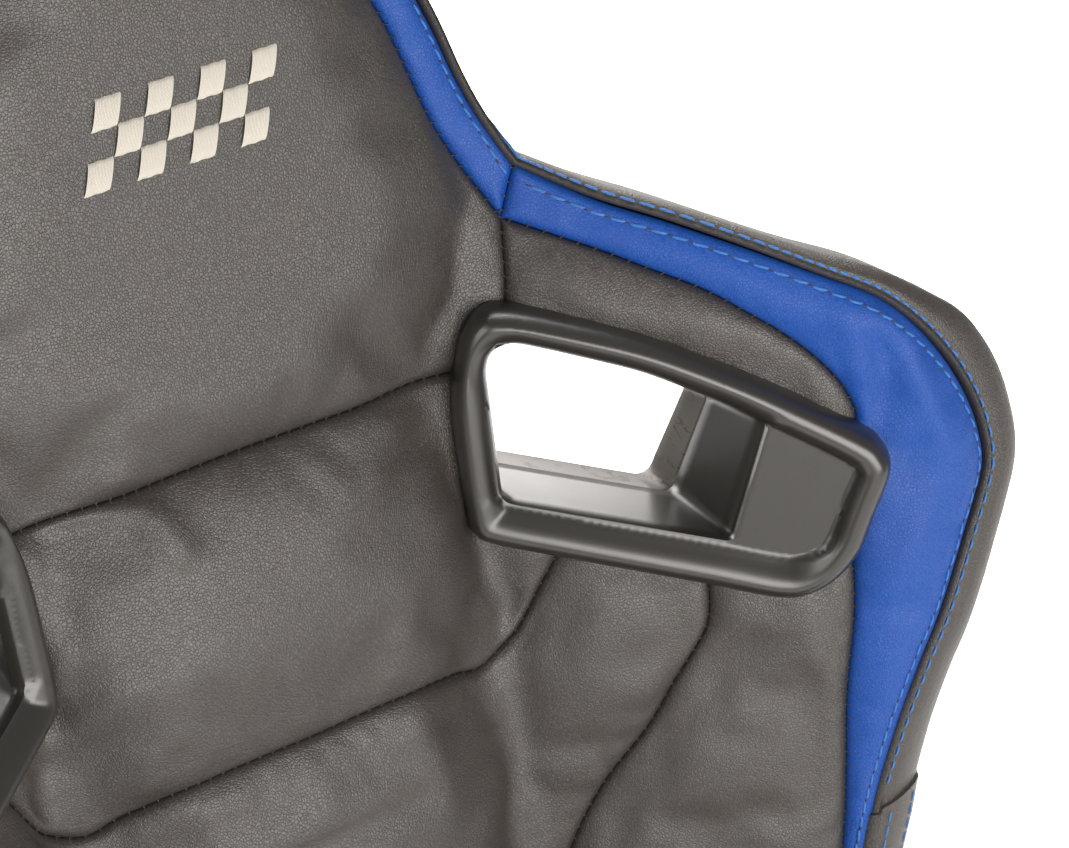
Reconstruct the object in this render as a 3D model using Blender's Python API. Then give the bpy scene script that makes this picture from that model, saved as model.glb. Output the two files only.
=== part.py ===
"""Reclining half-shell racing seat on fore-and-aft slide rails.

Metres, +Z up. The seat faces -Y and +X is on the viewer's right when the viewer faces the seat.
The origin is on the floor, under the middle of the seat's box.

The backrest is modelled upright in its own frame, which the recline empty then leans back:
    across   to the viewer's right, like X
    height   up the back, from the recline pivot
    forward  out of the back's face, towards the occupant
"""

from math import cos, radians, sin, tau

import bmesh
import bpy
from mathutils import Vector
from mathutils.geometry import delaunay_2d_cdt

# ---------------------------------------------------------------- driving dimensions
GAP = 0.0003  # between pieces that touch
PIVOT_Y, PIVOT_Z = 0.121, 0.190  # recline axis
RECLINE_DEG = 14.0  # the back's lean at rest
ORIGIN_Y = 0.0164  # moves the whole seat so that its box is centred on the origin

SLOT_HEIGHT = 0.585  # harness guides' reference height up the back
WING_SLOPE = 0.65  # rise of the side wings for each metre across
WING_CREST = 0.090  # forward height at which the wings level off
WING_ROOT = 0.084  # where the wings start, at the harness guides
BACK_BOTTOM = -0.528  # lower edge at the middle line, from the harness guides
NECK_ROOT = 0.118  # where they start, at the neck
WING_DEPTH = 0.046  # front face to rear face, in the wings
LUMBAR_DEPTH = 0.058  # the same, low on the back
PAD_DEPTH = 0.016  # foam thickness behind the wing face
BOXING = 0.008  # how far the rear cover stands outside the pads
COVER_WALL = 0.004
GRID = 0.034  # spacing of the soft solids' inner points

GUIDE_LIP = 0.009  # height of the harness guide's rim over the leather
GUIDE_WALL = 0.0032
GUIDE_FRONT_DEPTH = 0.038  # from the leather back to the parting line
GUIDE_FLANGE = 0.0035  # thickness of the rear half's flange
GUIDE_FLANGE_WIDTH = 0.012
GUIDE_PLATE_LEVEL = 0.004  # the recessed plate beside the mouth, over the leather

TUBE_R = 0.0075  # backrest frame tube
TUBE_SET_BACK = 0.0270  # the tube's centre behind the wing face
CROSS_R = 0.006

RAIL_X = 0.195
RAIL_Y = -0.105  # middle of the rails
RAIL_LENGTH = 0.440
RAIL_INSET = 0.020  # how much shorter the upper rail is at each end
RAIL_HALF = 0.023
RAIL_WALL = 0.0025
RAIL_LIP = 0.0105  # half the slot that the upper rail's web stands in
RAIL_LOWER_Z = 0.022
RAIL_UPPER_Z = 0.036
FLANGE_HALF = 0.017  # upper rail, inside the lower one
FLANGE_Z0, FLANGE_Z1 = 0.0062, 0.0102
WEB_HALF = 0.008
GLIDE_LENGTH = 0.070
GLIDE_HALF = 0.016
GLIDE_END = 0.025  # from the lower rail's end
GLIDE_CLEARANCE = 0.0012

FRAME_X = 0.2033  # inner face of the base side frames
FRAME_T = 0.005
FRAME_FRONT, FRAME_REAR = -0.315, 0.112
FOOT_X = 0.186  # inner edge of the side frames' feet
FOOT_Z0, FOOT_Z1 = 0.0363, 0.0403
BASE_TUBE_R = 0.011
HOLE_R = 0.019  # lightening holes
PAN_Z0, PAN_Z1 = 0.096, 0.1175
PAN_FRONT, PAN_REAR = -0.350, 0.100
PAN_RIM = 0.012
PAN_FLOOR = 0.0025
BRACKET_X = 0.186  # inner face of the backrest brackets
BRACKET_T = 0.004
DISC_R = 0.038
DISC_SPLIT = 0.1965  # where the two discs of a recliner meet
DISC_EDGE = 0.0012  # rounding
ROD_R = 0.005
ROD_END = 0.2515
ROD_BORE = 0.0062
HUB_R = 0.0165
LEVER_X0, LEVER_X1 = 0.2390, 0.2495
SPRING_X0, SPRING_X1 = 0.2125, 0.2185
SPRING_R0, SPRING_R1 = 0.012, 0.031
SPRING_TURNS = 3.0
SPRING_HALF = 0.0011  # half the strip's thickness

BAR_ARM_X = 0.1585
BAR_REACH = 0.330  # from the bar's axis to its front
BAR_BEND = 0.030
BAR_TAIL = 0.012
BAR_R = 0.0065
BAR_AXIS = (-0.065, 0.024)
LATCH_X0, LATCH_X1 = 0.147, 0.1857
LATCH_Y0, LATCH_Y1 = -0.080, -0.050
LOCK_X0, LOCK_X1 = 0.1655, 0.1713

CUSHION_FRONT, CUSHION_REAR = -0.372, 0.104
CUSHION_HALF = 0.233
CUSHION_CENTRE = 0.150
CUSHION_BASE = 0.118
FRONT_EDGE_Z = 0.200  # where the front roll starts to round over
FRONT_ROUND = 0.060
CUSHION_SPLIT_Y = -0.300  # seam between the centre and the front roll
CUSHION_BOLSTER_REAR = 0.050
BAND_X = 0.210  # seam between a side bolster and its band
COVER_TOP = 0.198  # the bolsters hang over the plastic side covers from here up
COVER_X0, COVER_X1 = 0.212, 0.236  # plastic side covers
SIDE_COVER_WALL = 0.0026

# ---------------------------------------------------------------- outlines of the back
# (across, height above the harness guides' reference height), right half, in metres.
HEAD_EDGE = [(0.000, 0.246), (0.045, 0.243), (0.074, 0.232), (0.090, 0.210), (0.105, 0.168),
             (0.112, 0.143), (0.118, 0.126), (0.126, 0.108)]
WING_EDGE = [(0.126, 0.108), (0.146, 0.093), (0.184, 0.070), (0.219, 0.045), (0.243, 0.013),
             (0.254, -0.014), (0.252, -0.040), (0.229, -0.083), (0.208, -0.126), (0.195, -0.165),
             (0.190, -0.205), (0.194, -0.255), (0.206, -0.310), (0.214, -0.370), (0.211, -0.420),
             (0.198, -0.452), (0.184, -0.465)]
SEAM_HEAD = 0.040  # height of the seam under the head panel
SEAM_MID = [(0.000, -0.064), (0.060, -0.066), (0.086, -0.069), (0.096, -0.062), (0.106, -0.047),
            (0.114, -0.036)]
SEAM_LOWER = [(0.157, -0.053), (0.154, -0.074), (0.142, -0.094), (0.114, -0.135), (0.098, -0.165),
              (0.090, -0.205), (0.090, -0.300), (0.096, -0.400), (0.100, -0.520)]
SEAM_NECK = [(0.109, 0.062), (0.114, 0.076), (0.118, 0.091)]
BAND_UPPER = [(0.118, 0.091), (0.141, 0.077), (0.168, 0.058), (0.192, 0.033), (0.205, 0.013),
              (0.209, -0.001)]
BAND_LOWER = [(0.202, -0.054), (0.195, -0.108), (0.190, -0.158), (0.186, -0.185)]
HEAD_BAND = [(0.118, 0.091), (0.107, 0.116), (0.100, 0.133), (0.088, 0.173), (0.074, 0.206),
             (0.060, 0.220)]
GUIDE_EDGE = [(0.088, 0.036), (0.087, -0.015), (0.091, -0.025), (0.100, -0.030), (0.134, -0.045),
              (0.173, -0.060), (0.186, -0.062), (0.198, -0.057), (0.206, -0.048), (0.215, -0.028),
              (0.218, -0.019), (0.216, -0.010), (0.208, -0.002), (0.165, 0.031), (0.133, 0.050),
              (0.109, 0.062), (0.100, 0.060), (0.092, 0.050)]
GUIDE_MOUTH = [(0.098, -0.012), (0.102, -0.019), (0.163, -0.044), (0.168, -0.040), (0.181, 0.000),
               (0.178, 0.007), (0.109, 0.048), (0.102, 0.048), (0.098, 0.042)]
GUIDE_PLATE = [(0.171, -0.046), (0.186, -0.050), (0.196, -0.045), (0.206, -0.020), (0.203, -0.013),
               (0.183, 0.002)]
FRAME_PATH = [(0.1735, -0.455), (0.1735, -0.420), (0.176, -0.350), (0.172, -0.250), (0.170, -0.205),
              (0.176, -0.150), (0.190, -0.090), (0.200, -0.040), (0.201, -0.008), (0.190, 0.020),
              (0.150, 0.044), (0.115, 0.066), (0.098, 0.085), (0.088, 0.110), (0.078, 0.150),
              (0.066, 0.190), (0.040, 0.214), (0.000, 0.221)]

BLACK = ((0.020, 0.019, 0.018), 0.48, 0.0)
BLUE = ((0.020, 0.075, 0.420), 0.45, 0.0)
PLASTIC = ((0.022, 0.022, 0.023), 0.38, 0.0)
STEEL = ((0.030, 0.030, 0.032), 0.45, 0.6)
ZINC = ((0.520, 0.520, 0.500), 0.35, 0.9)
SPRING = ((0.220, 0.220, 0.230), 0.40, 0.9)
NYLON = ((0.550, 0.540, 0.500), 0.50, 0.0)


# ---------------------------------------------------------------- small maths
def smooth_step(x):
    x = min(1.0, max(0.0, x))
    return x * x * (3.0 - 2.0 * x)


def soft_ramp(x, width):
    """x above 0 and 0 below it, with a round corner that is 2 * width long."""
    if x <= -width:
        return 0.0
    return x if x >= width else (x + width) ** 2 / (4.0 * width)


def soft_min(a, b, width):
    share = min(1.0, max(0.0, 0.5 + 0.5 * (b - a) / width))
    return b + (a - b) * share - width * share * (1.0 - share)


def between(x, table):
    """Straight-line value at x from rising (x, value) pairs."""
    if x <= table[0][0]:
        return table[0][1]
    for (x0, y0), (x1, y1) in zip(table, table[1:]):
        if x <= x1:
            return y0 + (y1 - y0) * (x - x0) / (x1 - x0)
    return table[-1][1]


def curve_through(points, steps):
    """Catmull-Rom points through the given ones, with `steps` spans between each two."""
    padded = [points[0], *points, points[-1]]
    found = []
    for p0, p1, p2, p3 in zip(padded, padded[1:], padded[2:], padded[3:]):
        for i in range(steps):
            t = i / steps
            found.append(tuple(
                0.5 * (2 * b + (c - a) * t + (2 * a - 5 * b + 4 * c - d) * t * t
                       + (3 * b - a - 3 * c + d) * t ** 3)
                for a, b, c, d in zip(p0, p1, p2, p3)))
    return [*found, tuple(points[-1])]


def area_of(loop):
    return 0.5 * sum(a[0] * b[1] - b[0] * a[1] for a, b in zip(loop, [*loop[1:], loop[0]]))


def grown(loop, distance):
    """The closed loop with each side moved outwards by `distance`, or inwards if it is negative."""
    loop = loop if area_of(loop) > 0 else loop[::-1]
    found = []
    for before, here, after in zip([loop[-1], *loop[:-1]], loop, [*loop[1:], loop[0]]):
        a = Vector(here) - Vector(before)
        b = Vector(after) - Vector(here)
        a, b = a.normalized(), b.normalized()
        normal = Vector((a.y + b.y, -a.x - b.x))
        normal.normalize()
        cosine = max(0.5, normal.x * a.y - normal.y * a.x)
        found.append((here[0] + normal.x * distance / cosine, here[1] + normal.y * distance / cosine))
    return found


def inside(point, loop):
    x, y = point
    found = False
    for (x0, y0), (x1, y1) in zip(loop, [*loop[1:], loop[0]]):
        if (y0 > y) != (y1 > y) and x < x0 + (y - y0) * (x1 - x0) / (y1 - y0):
            found = not found
    return found


def mirrored(loop):
    return [(-x, y) for x, y in loop][::-1]


def both_halves(half):
    """A closed loop from a right half that runs from the middle line down to the middle line."""
    return [*half, *[(-x, y) for x, y in half[::-1] if x > 1e-6]]


# ---------------------------------------------------------------- surfaces of the back
def wing(across, height):
    """How far forward the wing's face is, with heights from the harness guides."""
    root = WING_ROOT + (NECK_ROOT - WING_ROOT) * smooth_step((height - 0.040) / 0.075)
    return soft_min(WING_SLOPE * soft_ramp(abs(across) - root, 0.009), WING_CREST, 0.016)


CENTRE_BULGE = [(-0.520, 0.020), (-0.300, 0.028), (-0.100, 0.022), (-0.020, 0.021), (0.040, 0.012),
                (0.110, 0.002), (0.170, -0.002), (0.260, -0.008)]


def face(across, height):
    """The leather's front face: the wings plus the centre panels' bulge."""
    root = WING_ROOT + (NECK_ROOT - WING_ROOT) * smooth_step((height - 0.040) / 0.075)
    share = 1.0 - smooth_step((abs(across) - root + 0.028) / 0.034)
    return wing(across, height) + between(height, CENTRE_BULGE) * share


def pad_face(across, height):
    return face(across, height) - 0.0005


def pad_rear(across, height):
    return wing(across, height) - PAD_DEPTH


def cover_depth(height):
    return between(height, [(-0.400, LUMBAR_DEPTH), (-0.120, WING_DEPTH)])


def cover_rear(across, height):
    root = WING_ROOT + 0.004 + (NECK_ROOT - WING_ROOT) * smooth_step((height - 0.066) / 0.060)
    rise = soft_min(WING_SLOPE * soft_ramp(abs(across) - root, 0.009), WING_CREST, 0.016)
    share = between(height, [(-0.360, 0.38), (-0.150, 1.0)])
    return rise * share - cover_depth(height)


def cover_floor(across, height):
    return cover_rear(across, height) + COVER_WALL


def guide_plane(across, height):
    """The flat plane that a harness guide's rim lies in."""
    return WING_SLOPE * (abs(across) - WING_ROOT) + 0.0022


def guide_back(across, height):
    return WING_SLOPE * (abs(across) - WING_ROOT - 0.004) - WING_DEPTH


def offset(surface, distance):
    return lambda across, height: surface(across, height) + distance


def level(value):
    """A flat surface."""
    return lambda a, b: value


# ---------------------------------------------------------------- Blender helpers
def material(name, look):
    colour, roughness, metallic = look
    made = bpy.data.materials.new(name)
    made.use_nodes = True
    shader = made.node_tree.nodes["Principled BSDF"]
    shader.inputs["Base Color"].default_value = (*colour, 1.0)
    shader.inputs["Roughness"].default_value = roughness
    shader.inputs["Metallic"].default_value = metallic
    made.diffuse_color = (*colour, 1.0)
    return made


def empty(name, location, parent=None, lean=0.0):
    made = bpy.data.objects.new(name, None)
    bpy.context.scene.collection.objects.link(made)
    made.location = location
    made.rotation_euler = (lean, 0.0, 0.0)
    made.parent = parent
    return made


def finish(name, mesh, look, parent, smooth=False):
    made = bpy.data.objects.new(name, mesh)
    bpy.context.scene.collection.objects.link(made)
    mesh.materials.append(material(name, look))
    if smooth:
        mesh.shade_smooth()
        mesh.set_sharp_from_angle(angle=radians(40))
    made.parent = parent
    return made


def mesh_from(name, points, faces):
    mesh = bpy.data.meshes.new(name)
    shell = bmesh.new()
    placed = [shell.verts.new(p) for p in points]
    for face_points in faces:
        shell.faces.new([placed[i] for i in face_points])
    bmesh.ops.recalc_face_normals(shell, faces=shell.faces)
    shell.to_mesh(mesh)
    shell.free()
    return mesh


def as_cutter(made):
    made.hide_render = True
    made.display_type = "WIRE"
    return made


def boolean(made, other, operation):
    modifier = made.modifiers.new(operation.title(), "BOOLEAN")
    modifier.operation = operation
    modifier.object = as_cutter(other)
    return made


def sheet_points(loop, holes, spacing, creases):
    """(points, triangles) that fill a closed loop, less its holes, with inner points on a grid.

    The creases are loops that triangles don't cross.
    """
    rings = [loop, *holes, *creases]
    points = []
    edges = []
    for ring in rings:
        start = len(points)
        points += [Vector(p) for p in ring]
        edges += [(start + i, start + (i + 1) % len(ring)) for i in range(len(ring))]
    margin = 0.4 * spacing if spacing else 0.0
    inner_loop = grown(loop, -margin) if spacing else loop
    outer_holes = [grown(hole, margin) for hole in [*holes, *creases]]
    low = [min(p[i] for p in loop) for i in (0, 1)]
    high = [max(p[i] for p in loop) for i in (0, 1)]
    if spacing:
        columns = int((high[0] - low[0]) / spacing) + 1
        rows = int((high[1] - low[1]) / spacing) + 1
        for i in range(1, columns):
            for j in range(1, rows):
                p = (low[0] + (high[0] - low[0]) * i / columns, low[1] + (high[1] - low[1]) * j / rows)
                if inside(p, inner_loop) and not any(inside(p, hole) for hole in outer_holes):
                    points.append(Vector(p))
    found, _, triangles, *_ = delaunay_2d_cdt(points, edges, [], 1, 1e-7)
    kept = []
    for triangle in triangles:
        centre = sum((found[i] for i in triangle), Vector((0.0, 0.0))) / 3
        if inside(centre, loop) and not any(inside(centre, hole) for hole in holes):
            kept.append(tuple(triangle))
    return [(p.x, p.y) for p in found], kept


def slab(loop, holes, near, far, place, spacing, creases=()):
    """A closed solid between two height functions over a flat outline with holes.

    place(a, b, level) turns the outline's two coordinates and a level into a point.
    """
    flat, triangles = sheet_points(loop, holes, spacing, creases)
    count = len(flat)
    points = [place(a, b, near(a, b)) for a, b in flat]
    points += [place(a, b, far(a, b)) for a, b in flat]
    faces = [*triangles, *[tuple(i + count for i in t[::-1]) for t in triangles]]
    used = {}
    for t in triangles:
        for i, j in zip(t, [*t[1:], t[0]]):
            used[(i, j)] = True
    for i, j in list(used):
        if (j, i) not in used:
            faces.append((j, i, i + count, j + count))
    return points, faces


def on_back(across, height, forward):
    return (across, -forward, height + SLOT_HEIGHT)


def on_floor(across, along, level):
    return (across, along, level)


def pad(name, loop, look, parent, holes=(), near=pad_face, far=pad_rear, spacing=GRID):
    points, faces = slab(grown(loop, -0.0003), list(holes), near, far, on_back, spacing)
    return finish(name, mesh_from(name, points, faces), look, parent, smooth=True)


def back_solid(name, loop, near, far, look, parent, holes=(), spacing=0.0, creases=()):
    points, faces = slab(loop, list(holes), near, far, on_back, spacing, creases)
    return finish(name, mesh_from(name, points, faces), look, parent)


def plan_solid(name, loop, top, bottom, look, parent, spacing=GRID):
    points, faces = slab(loop, [], top, bottom, on_floor, spacing)
    return finish(name, mesh_from(name, points, faces), look, parent, smooth=True)


def plate_x(name, loop, x0, x1, look, parent, holes=()):
    """A flat plate whose outline is in Y and Z, from x0 to x1."""
    points, faces = slab(loop, list(holes), lambda a, b: x0, lambda a, b: x1,
                         lambda a, b, level: (level, a, b), 0.0)
    return finish(name, mesh_from(name, points, faces), look, parent)


def rail_y(name, loop, y0, y1, look, parent):
    """A bar whose outline is in X and Z, from y0 to y1."""
    points, faces = slab(loop, [], lambda a, b: y0, lambda a, b: y1,
                         lambda a, b, level: (a, level, b), 0.0)
    return finish(name, mesh_from(name, points, faces), look, parent)


def box_loop(x0, y0, x1, y1):
    return [(x0, y0), (x1, y0), (x1, y1), (x0, y1)]


def arc(centre, radius, start, end, steps):
    """Points on a circle from one angle to another, in degrees."""
    angles = [radians(start + (end - start) * i / steps) for i in range(steps + 1)]
    return [(centre[0] + radius * cos(a), centre[1] + radius * sin(a)) for a in angles]


def circle(centre, radius, steps):
    return arc(centre, radius, 0.0, 360.0, steps)[:-1]


def turned_x(name, profile, look, parent, steps=24):
    """A ring turned about the parent's X axis. The profile's (x, radius) points go once round it."""
    count = len(profile)
    points = [(x, r * cos(tau * k / steps), r * sin(tau * k / steps))
              for k in range(steps) for x, r in profile]
    faces = []
    for k in range(steps):
        here, there = k * count, (k + 1) % steps * count
        for i in range(count):
            j = (i + 1) % count
            faces.append((here + i, here + j, there + j, there + i))
    return finish(name, mesh_from(name, points, faces), look, parent, smooth=True)


def tube(name, points, radius, look, parent, resolution=2):
    """A round bar along a line of points, with closed ends."""
    curve = bpy.data.curves.new(name, "CURVE")
    curve.dimensions = "3D"
    curve.bevel_depth = radius
    curve.bevel_resolution = resolution
    curve.use_fill_caps = True
    spline = curve.splines.new("POLY")
    spline.points.add(len(points) - 1)
    for point, place in zip(spline.points, points):
        point.co = (*place, 1.0)
    made = bpy.data.objects.new(name, curve)
    bpy.context.scene.collection.objects.link(made)
    curve.materials.append(material(name, look))
    made.parent = parent
    return made


SIDES = (("right", 1.0), ("left", -1.0))


def sided(loop, sign):
    return loop if sign > 0 else mirrored(loop)


# ---------------------------------------------------------------- the pieces
def slide_rails(rails, seat):
    """Lower channels on the floor, upper rails inside them, and nylon glides between the two."""
    y0, y1 = RAIL_Y - RAIL_LENGTH / 2, RAIL_Y + RAIL_LENGTH / 2
    inner, top = RAIL_HALF - RAIL_WALL, RAIL_LOWER_Z - RAIL_WALL
    channel = [(-RAIL_HALF, 0.0), (RAIL_HALF, 0.0), (RAIL_HALF, RAIL_LOWER_Z), (RAIL_LIP, RAIL_LOWER_Z),
               (RAIL_LIP, top), (inner, top), (inner, RAIL_WALL), (-inner, RAIL_WALL), (-inner, top),
               (-RAIL_LIP, top), (-RAIL_LIP, RAIL_LOWER_Z), (-RAIL_HALF, RAIL_LOWER_Z)]
    runner = [(-FLANGE_HALF, FLANGE_Z0), (FLANGE_HALF, FLANGE_Z0), (FLANGE_HALF, FLANGE_Z1),
              (WEB_HALF, FLANGE_Z1), (WEB_HALF, RAIL_UPPER_Z), (-WEB_HALF, RAIL_UPPER_Z),
              (-WEB_HALF, FLANGE_Z1), (-FLANGE_HALF, FLANGE_Z1)]
    for side, sign in SIDES:
        x = RAIL_X * sign
        rail_y(f"lower_rail_{side}", [(x + a, b) for a, b in channel], y0, y1, ZINC, rails)
        rail_y(f"upper_rail_{side}", [(x + a, b) for a, b in runner], y0 + RAIL_INSET, y1 - RAIL_INSET,
               ZINC, seat)
        for place, start in (("front", y0 + GLIDE_END), ("rear", y1 - GLIDE_END - GLIDE_LENGTH)):
            glide = box_loop(x - GLIDE_HALF, start, x + GLIDE_HALF, start + GLIDE_LENGTH)
            plan_solid(f"glide_{place}_{side}", glide, level(FLANGE_Z0 - GAP),
                       level(RAIL_WALL + GLIDE_CLEARANCE), NYLON, seat, spacing=0.0)


def base_frame(seat):
    """Stamped side frames on the upper rails, with cross tubes and the cushion's pan."""
    pivot = (PIVOT_Y, PIVOT_Z)
    outline = [(FRAME_FRONT, FOOT_Z0), (FRAME_REAR, FOOT_Z0), (FRAME_REAR + 0.020, 0.080),
               *arc(pivot, 0.044, -55.0, 205.0, 18),
               (0.020, 0.112), (FRAME_FRONT + 0.030, 0.112), (FRAME_FRONT, 0.092)]
    holes = [circle(pivot, ROD_BORE, 16), circle((-0.060, 0.076), HOLE_R, 20),
             circle((-0.200, 0.076), HOLE_R, 20)]
    for side, sign in SIDES:
        x0, x1 = sorted((sign * FRAME_X, sign * (FRAME_X + FRAME_T)))
        plate = plate_x(f"side_frame_{side}", outline, x0, x1, STEEL, seat, holes)
        foot = box_loop(sign * FOOT_X, FRAME_FRONT, sign * (FRAME_X + 0.002), FRAME_REAR)
        flange = plan_solid(f"side_frame_foot_{side}", foot, level(FOOT_Z1), level(FOOT_Z0), STEEL, seat,
                            spacing=0.0)
        boolean(plate, flange, "UNION")
        drop = [(LATCH_X0, 0.010), (LATCH_X0 + 0.003, 0.010), (LATCH_X0 + 0.003, FOOT_Z0 + 0.001),
                (LATCH_X1, FOOT_Z0 + 0.001), (LATCH_X1, FOOT_Z1), (LATCH_X0, FOOT_Z1)]
        rail_y(f"latch_bracket_{side}", [(sign * x, z) for x, z in drop], LATCH_Y0, LATCH_Y1, STEEL, seat)
    half = FRAME_X - GAP
    tube("cross_tube_front", [(-half, -0.270, 0.082), (half, -0.270, 0.082)], BASE_TUBE_R, STEEL, seat)
    tube("cross_tube_rear", [(-half, 0.075, 0.078), (half, 0.075, 0.078)], BASE_TUBE_R, STEEL, seat)
    pan = rail_y("seat_pan", box_loop(-half, PAN_Z0, half, PAN_Z1), PAN_FRONT, PAN_REAR, STEEL, seat)
    inner = box_loop(PAN_RIM - half, PAN_Z0 + PAN_FLOOR, half - PAN_RIM, PAN_Z1 + 0.0075)
    hollow = rail_y("seat_pan_hollow", inner, PAN_FRONT + PAN_RIM, PAN_REAR - PAN_RIM, STEEL, seat)
    boolean(pan, hollow, "DIFFERENCE")


def cushion_crest(along):
    """Height of the cushion's side bolsters along the seat."""
    return between(along, [(CUSHION_FRONT, 0.262), (-0.340, 0.292), (-0.250, 0.312), (-0.120, 0.322),
                           (-0.030, 0.305), (0.030, 0.268), (0.060, 0.236), (CUSHION_REAR, 0.220)])


def cushion_middle(along):
    return between(along, [(-0.300, 0.284), (-0.120, 0.262), (0.040, 0.236), (CUSHION_REAR, 0.222)])


def cushion_top(across, along):
    """The cushion's upper face, crest and all."""
    rise = smooth_step((abs(across) - CUSHION_CENTRE + 0.010) / 0.062)
    fall = smooth_step((abs(across) - 0.212) / 0.040)
    middle = cushion_middle(along)
    return middle + (cushion_crest(along) - middle) * rise - 0.050 * fall


def cushion_underside(across, along):
    return CUSHION_BASE + (COVER_TOP + GAP - CUSHION_BASE) * smooth_step((abs(across) - 0.1975) / 0.004)


def front_roll_top(across, along):
    edge = (along - CUSHION_FRONT) / FRONT_ROUND
    round_off = 1.0 - (1.0 - min(1.0, max(0.0, edge))) ** 2.4
    return FRONT_EDGE_Z + (cushion_middle(CUSHION_SPLIT_Y) - FRONT_EDGE_Z) * round_off


def cushion(seat):
    """Centre insert, front roll, side bolsters and the contrast bands outside them."""
    rear_y = CUSHION_BOLSTER_REAR
    half = CUSHION_CENTRE - GAP
    centre = box_loop(-half, CUSHION_SPLIT_Y + GAP, half, CUSHION_REAR)
    plan_solid("cushion_centre", centre, cushion_top, level(CUSHION_BASE), BLACK, seat, 0.040)
    roll = box_loop(-half, CUSHION_FRONT, half, CUSHION_SPLIT_Y - GAP)
    plan_solid("cushion_front_roll", roll, front_roll_top, level(CUSHION_BASE), BLACK, seat, 0.014)
    for side, sign in SIDES:
        inner = sided([(CUSHION_CENTRE + GAP, CUSHION_FRONT + 0.004), (BAND_X - GAP, CUSHION_FRONT + 0.004),
                       (BAND_X - GAP, rear_y), (0.183, rear_y + 0.006), (0.182, CUSHION_REAR - 0.010),
                       (CUSHION_CENTRE + GAP, CUSHION_REAR - 0.004)], sign)
        plan_solid(f"cushion_bolster_{side}", inner, cushion_top, cushion_underside, BLACK, seat, 0.022)
        outer = sided([(BAND_X + GAP, CUSHION_FRONT + 0.006), (CUSHION_HALF - 0.012, CUSHION_FRONT + 0.014),
                       (CUSHION_HALF, CUSHION_FRONT + 0.040), (CUSHION_HALF, rear_y - 0.040),
                       (CUSHION_HALF - 0.010, rear_y - 0.012), (BAND_X + GAP, rear_y - 0.002)], sign)
        plan_solid(f"cushion_band_{side}", outer, cushion_top, cushion_underside, BLUE, seat, 0.022)


def ring(name, x0, x1, outer, look, parent, bore=ROD_BORE, steps=24):
    """A round disc with a bore, between two places on the parent's X axis."""
    profile = [(x0, bore), (x0, outer - DISC_EDGE), (x0 + DISC_EDGE, outer), (x1 - DISC_EDGE, outer),
               (x1, outer - DISC_EDGE), (x1, bore)]
    return turned_x(name, profile, look, parent, steps)


def spiral(sign):
    """The outline of a strip wound up round the rod."""
    count = int(SPRING_TURNS * 14)
    line = [(SPRING_R0 + (SPRING_R1 - SPRING_R0) * k / count, sign * tau * SPRING_TURNS * k / count)
            for k in range(count + 1)]
    outer = [((r + SPRING_HALF) * cos(t), (r + SPRING_HALF) * sin(t)) for r, t in line]
    inner = [((r - SPRING_HALF) * cos(t), (r - SPRING_HALF) * sin(t)) for r, t in line]
    return [*outer, *inner[::-1]]


def recliners(back, fixed, moving):
    """Round recliners at both sides, joined by a rod that the levers turn."""
    inner_x = BRACKET_X + BRACKET_T + GAP
    half_gap = 0.0002
    for side, sign in SIDES:
        moving_disc = sorted((sign * inner_x, sign * (DISC_SPLIT - half_gap)))
        ring(f"recliner_moving_disc_{side}", *moving_disc, DISC_R, ZINC, back)
        fixed_disc = sorted((sign * (DISC_SPLIT + half_gap), sign * (FRAME_X - GAP)))
        ring(f"recliner_fixed_disc_{side}", *fixed_disc, DISC_R, ZINC, fixed)
        hub = sorted((sign * (COVER_X1 + 0.0008), sign * (LEVER_X1 + 0.0005)))
        ring(f"lever_hub_{side}", *hub, HUB_R, PLASTIC, moving, ROD_R + 0.0004, 20)
        spring = sorted((sign * SPRING_X0, sign * SPRING_X1))
        plate_x(f"recline_spring_{side}", spiral(sign), *spring, SPRING, fixed)
    tube("sync_rod", [(-ROD_END, 0.0, 0.0), (ROD_END, 0.0, 0.0)], ROD_R, ZINC, moving, 3)


def side_covers(seat):
    """Moulded covers over the recliners, open on the inner side."""
    pivot = (PIVOT_Y, PIVOT_Z)
    wall = SIDE_COVER_WALL
    outline = [(-0.190, 0.078), (-0.165, 0.062), (0.120, 0.060), (0.158, 0.078), (0.172, 0.140),
               *arc(pivot, 0.054, 0.0, 130.0, 10),
               (0.054, 0.197), (-0.060, 0.190), (-0.150, 0.160), (-0.186, 0.125)]
    for side, sign in SIDES:
        a, b = sorted((sign * COVER_X0, sign * COVER_X1))
        shell = plate_x(f"side_cover_{side}", outline, a, b, PLASTIC, seat, [circle(pivot, 0.008, 16)])
        a, b = sorted((sign * (COVER_X0 - 0.005), sign * (COVER_X1 - wall)))
        hollow = plate_x(f"side_cover_hollow_{side}", grown(outline, -wall), a, b, PLASTIC, seat)
        boolean(shell, hollow, "DIFFERENCE")


def levers(moving):
    """A hand lever on each end of the rod, pointing forward."""
    for side, sign in SIDES:
        arm = [(-HUB_R - 0.001, 0.006), *curve_through([(-0.030, 0.012), (-0.070, 0.014), (-0.115, 0.006)], 3),
               *arc((-0.122, -0.006), 0.0125, 70.0, 250.0, 6),
               *curve_through([(-0.110, -0.014), (-0.070, -0.008), (-0.030, -0.010)], 3),
               (-HUB_R - 0.001, -0.006)]
        a, b = sorted((sign * LEVER_X0, sign * LEVER_X1))
        plate_x(f"recline_lever_{side}", arm, a, b, PLASTIC, moving)


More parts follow.
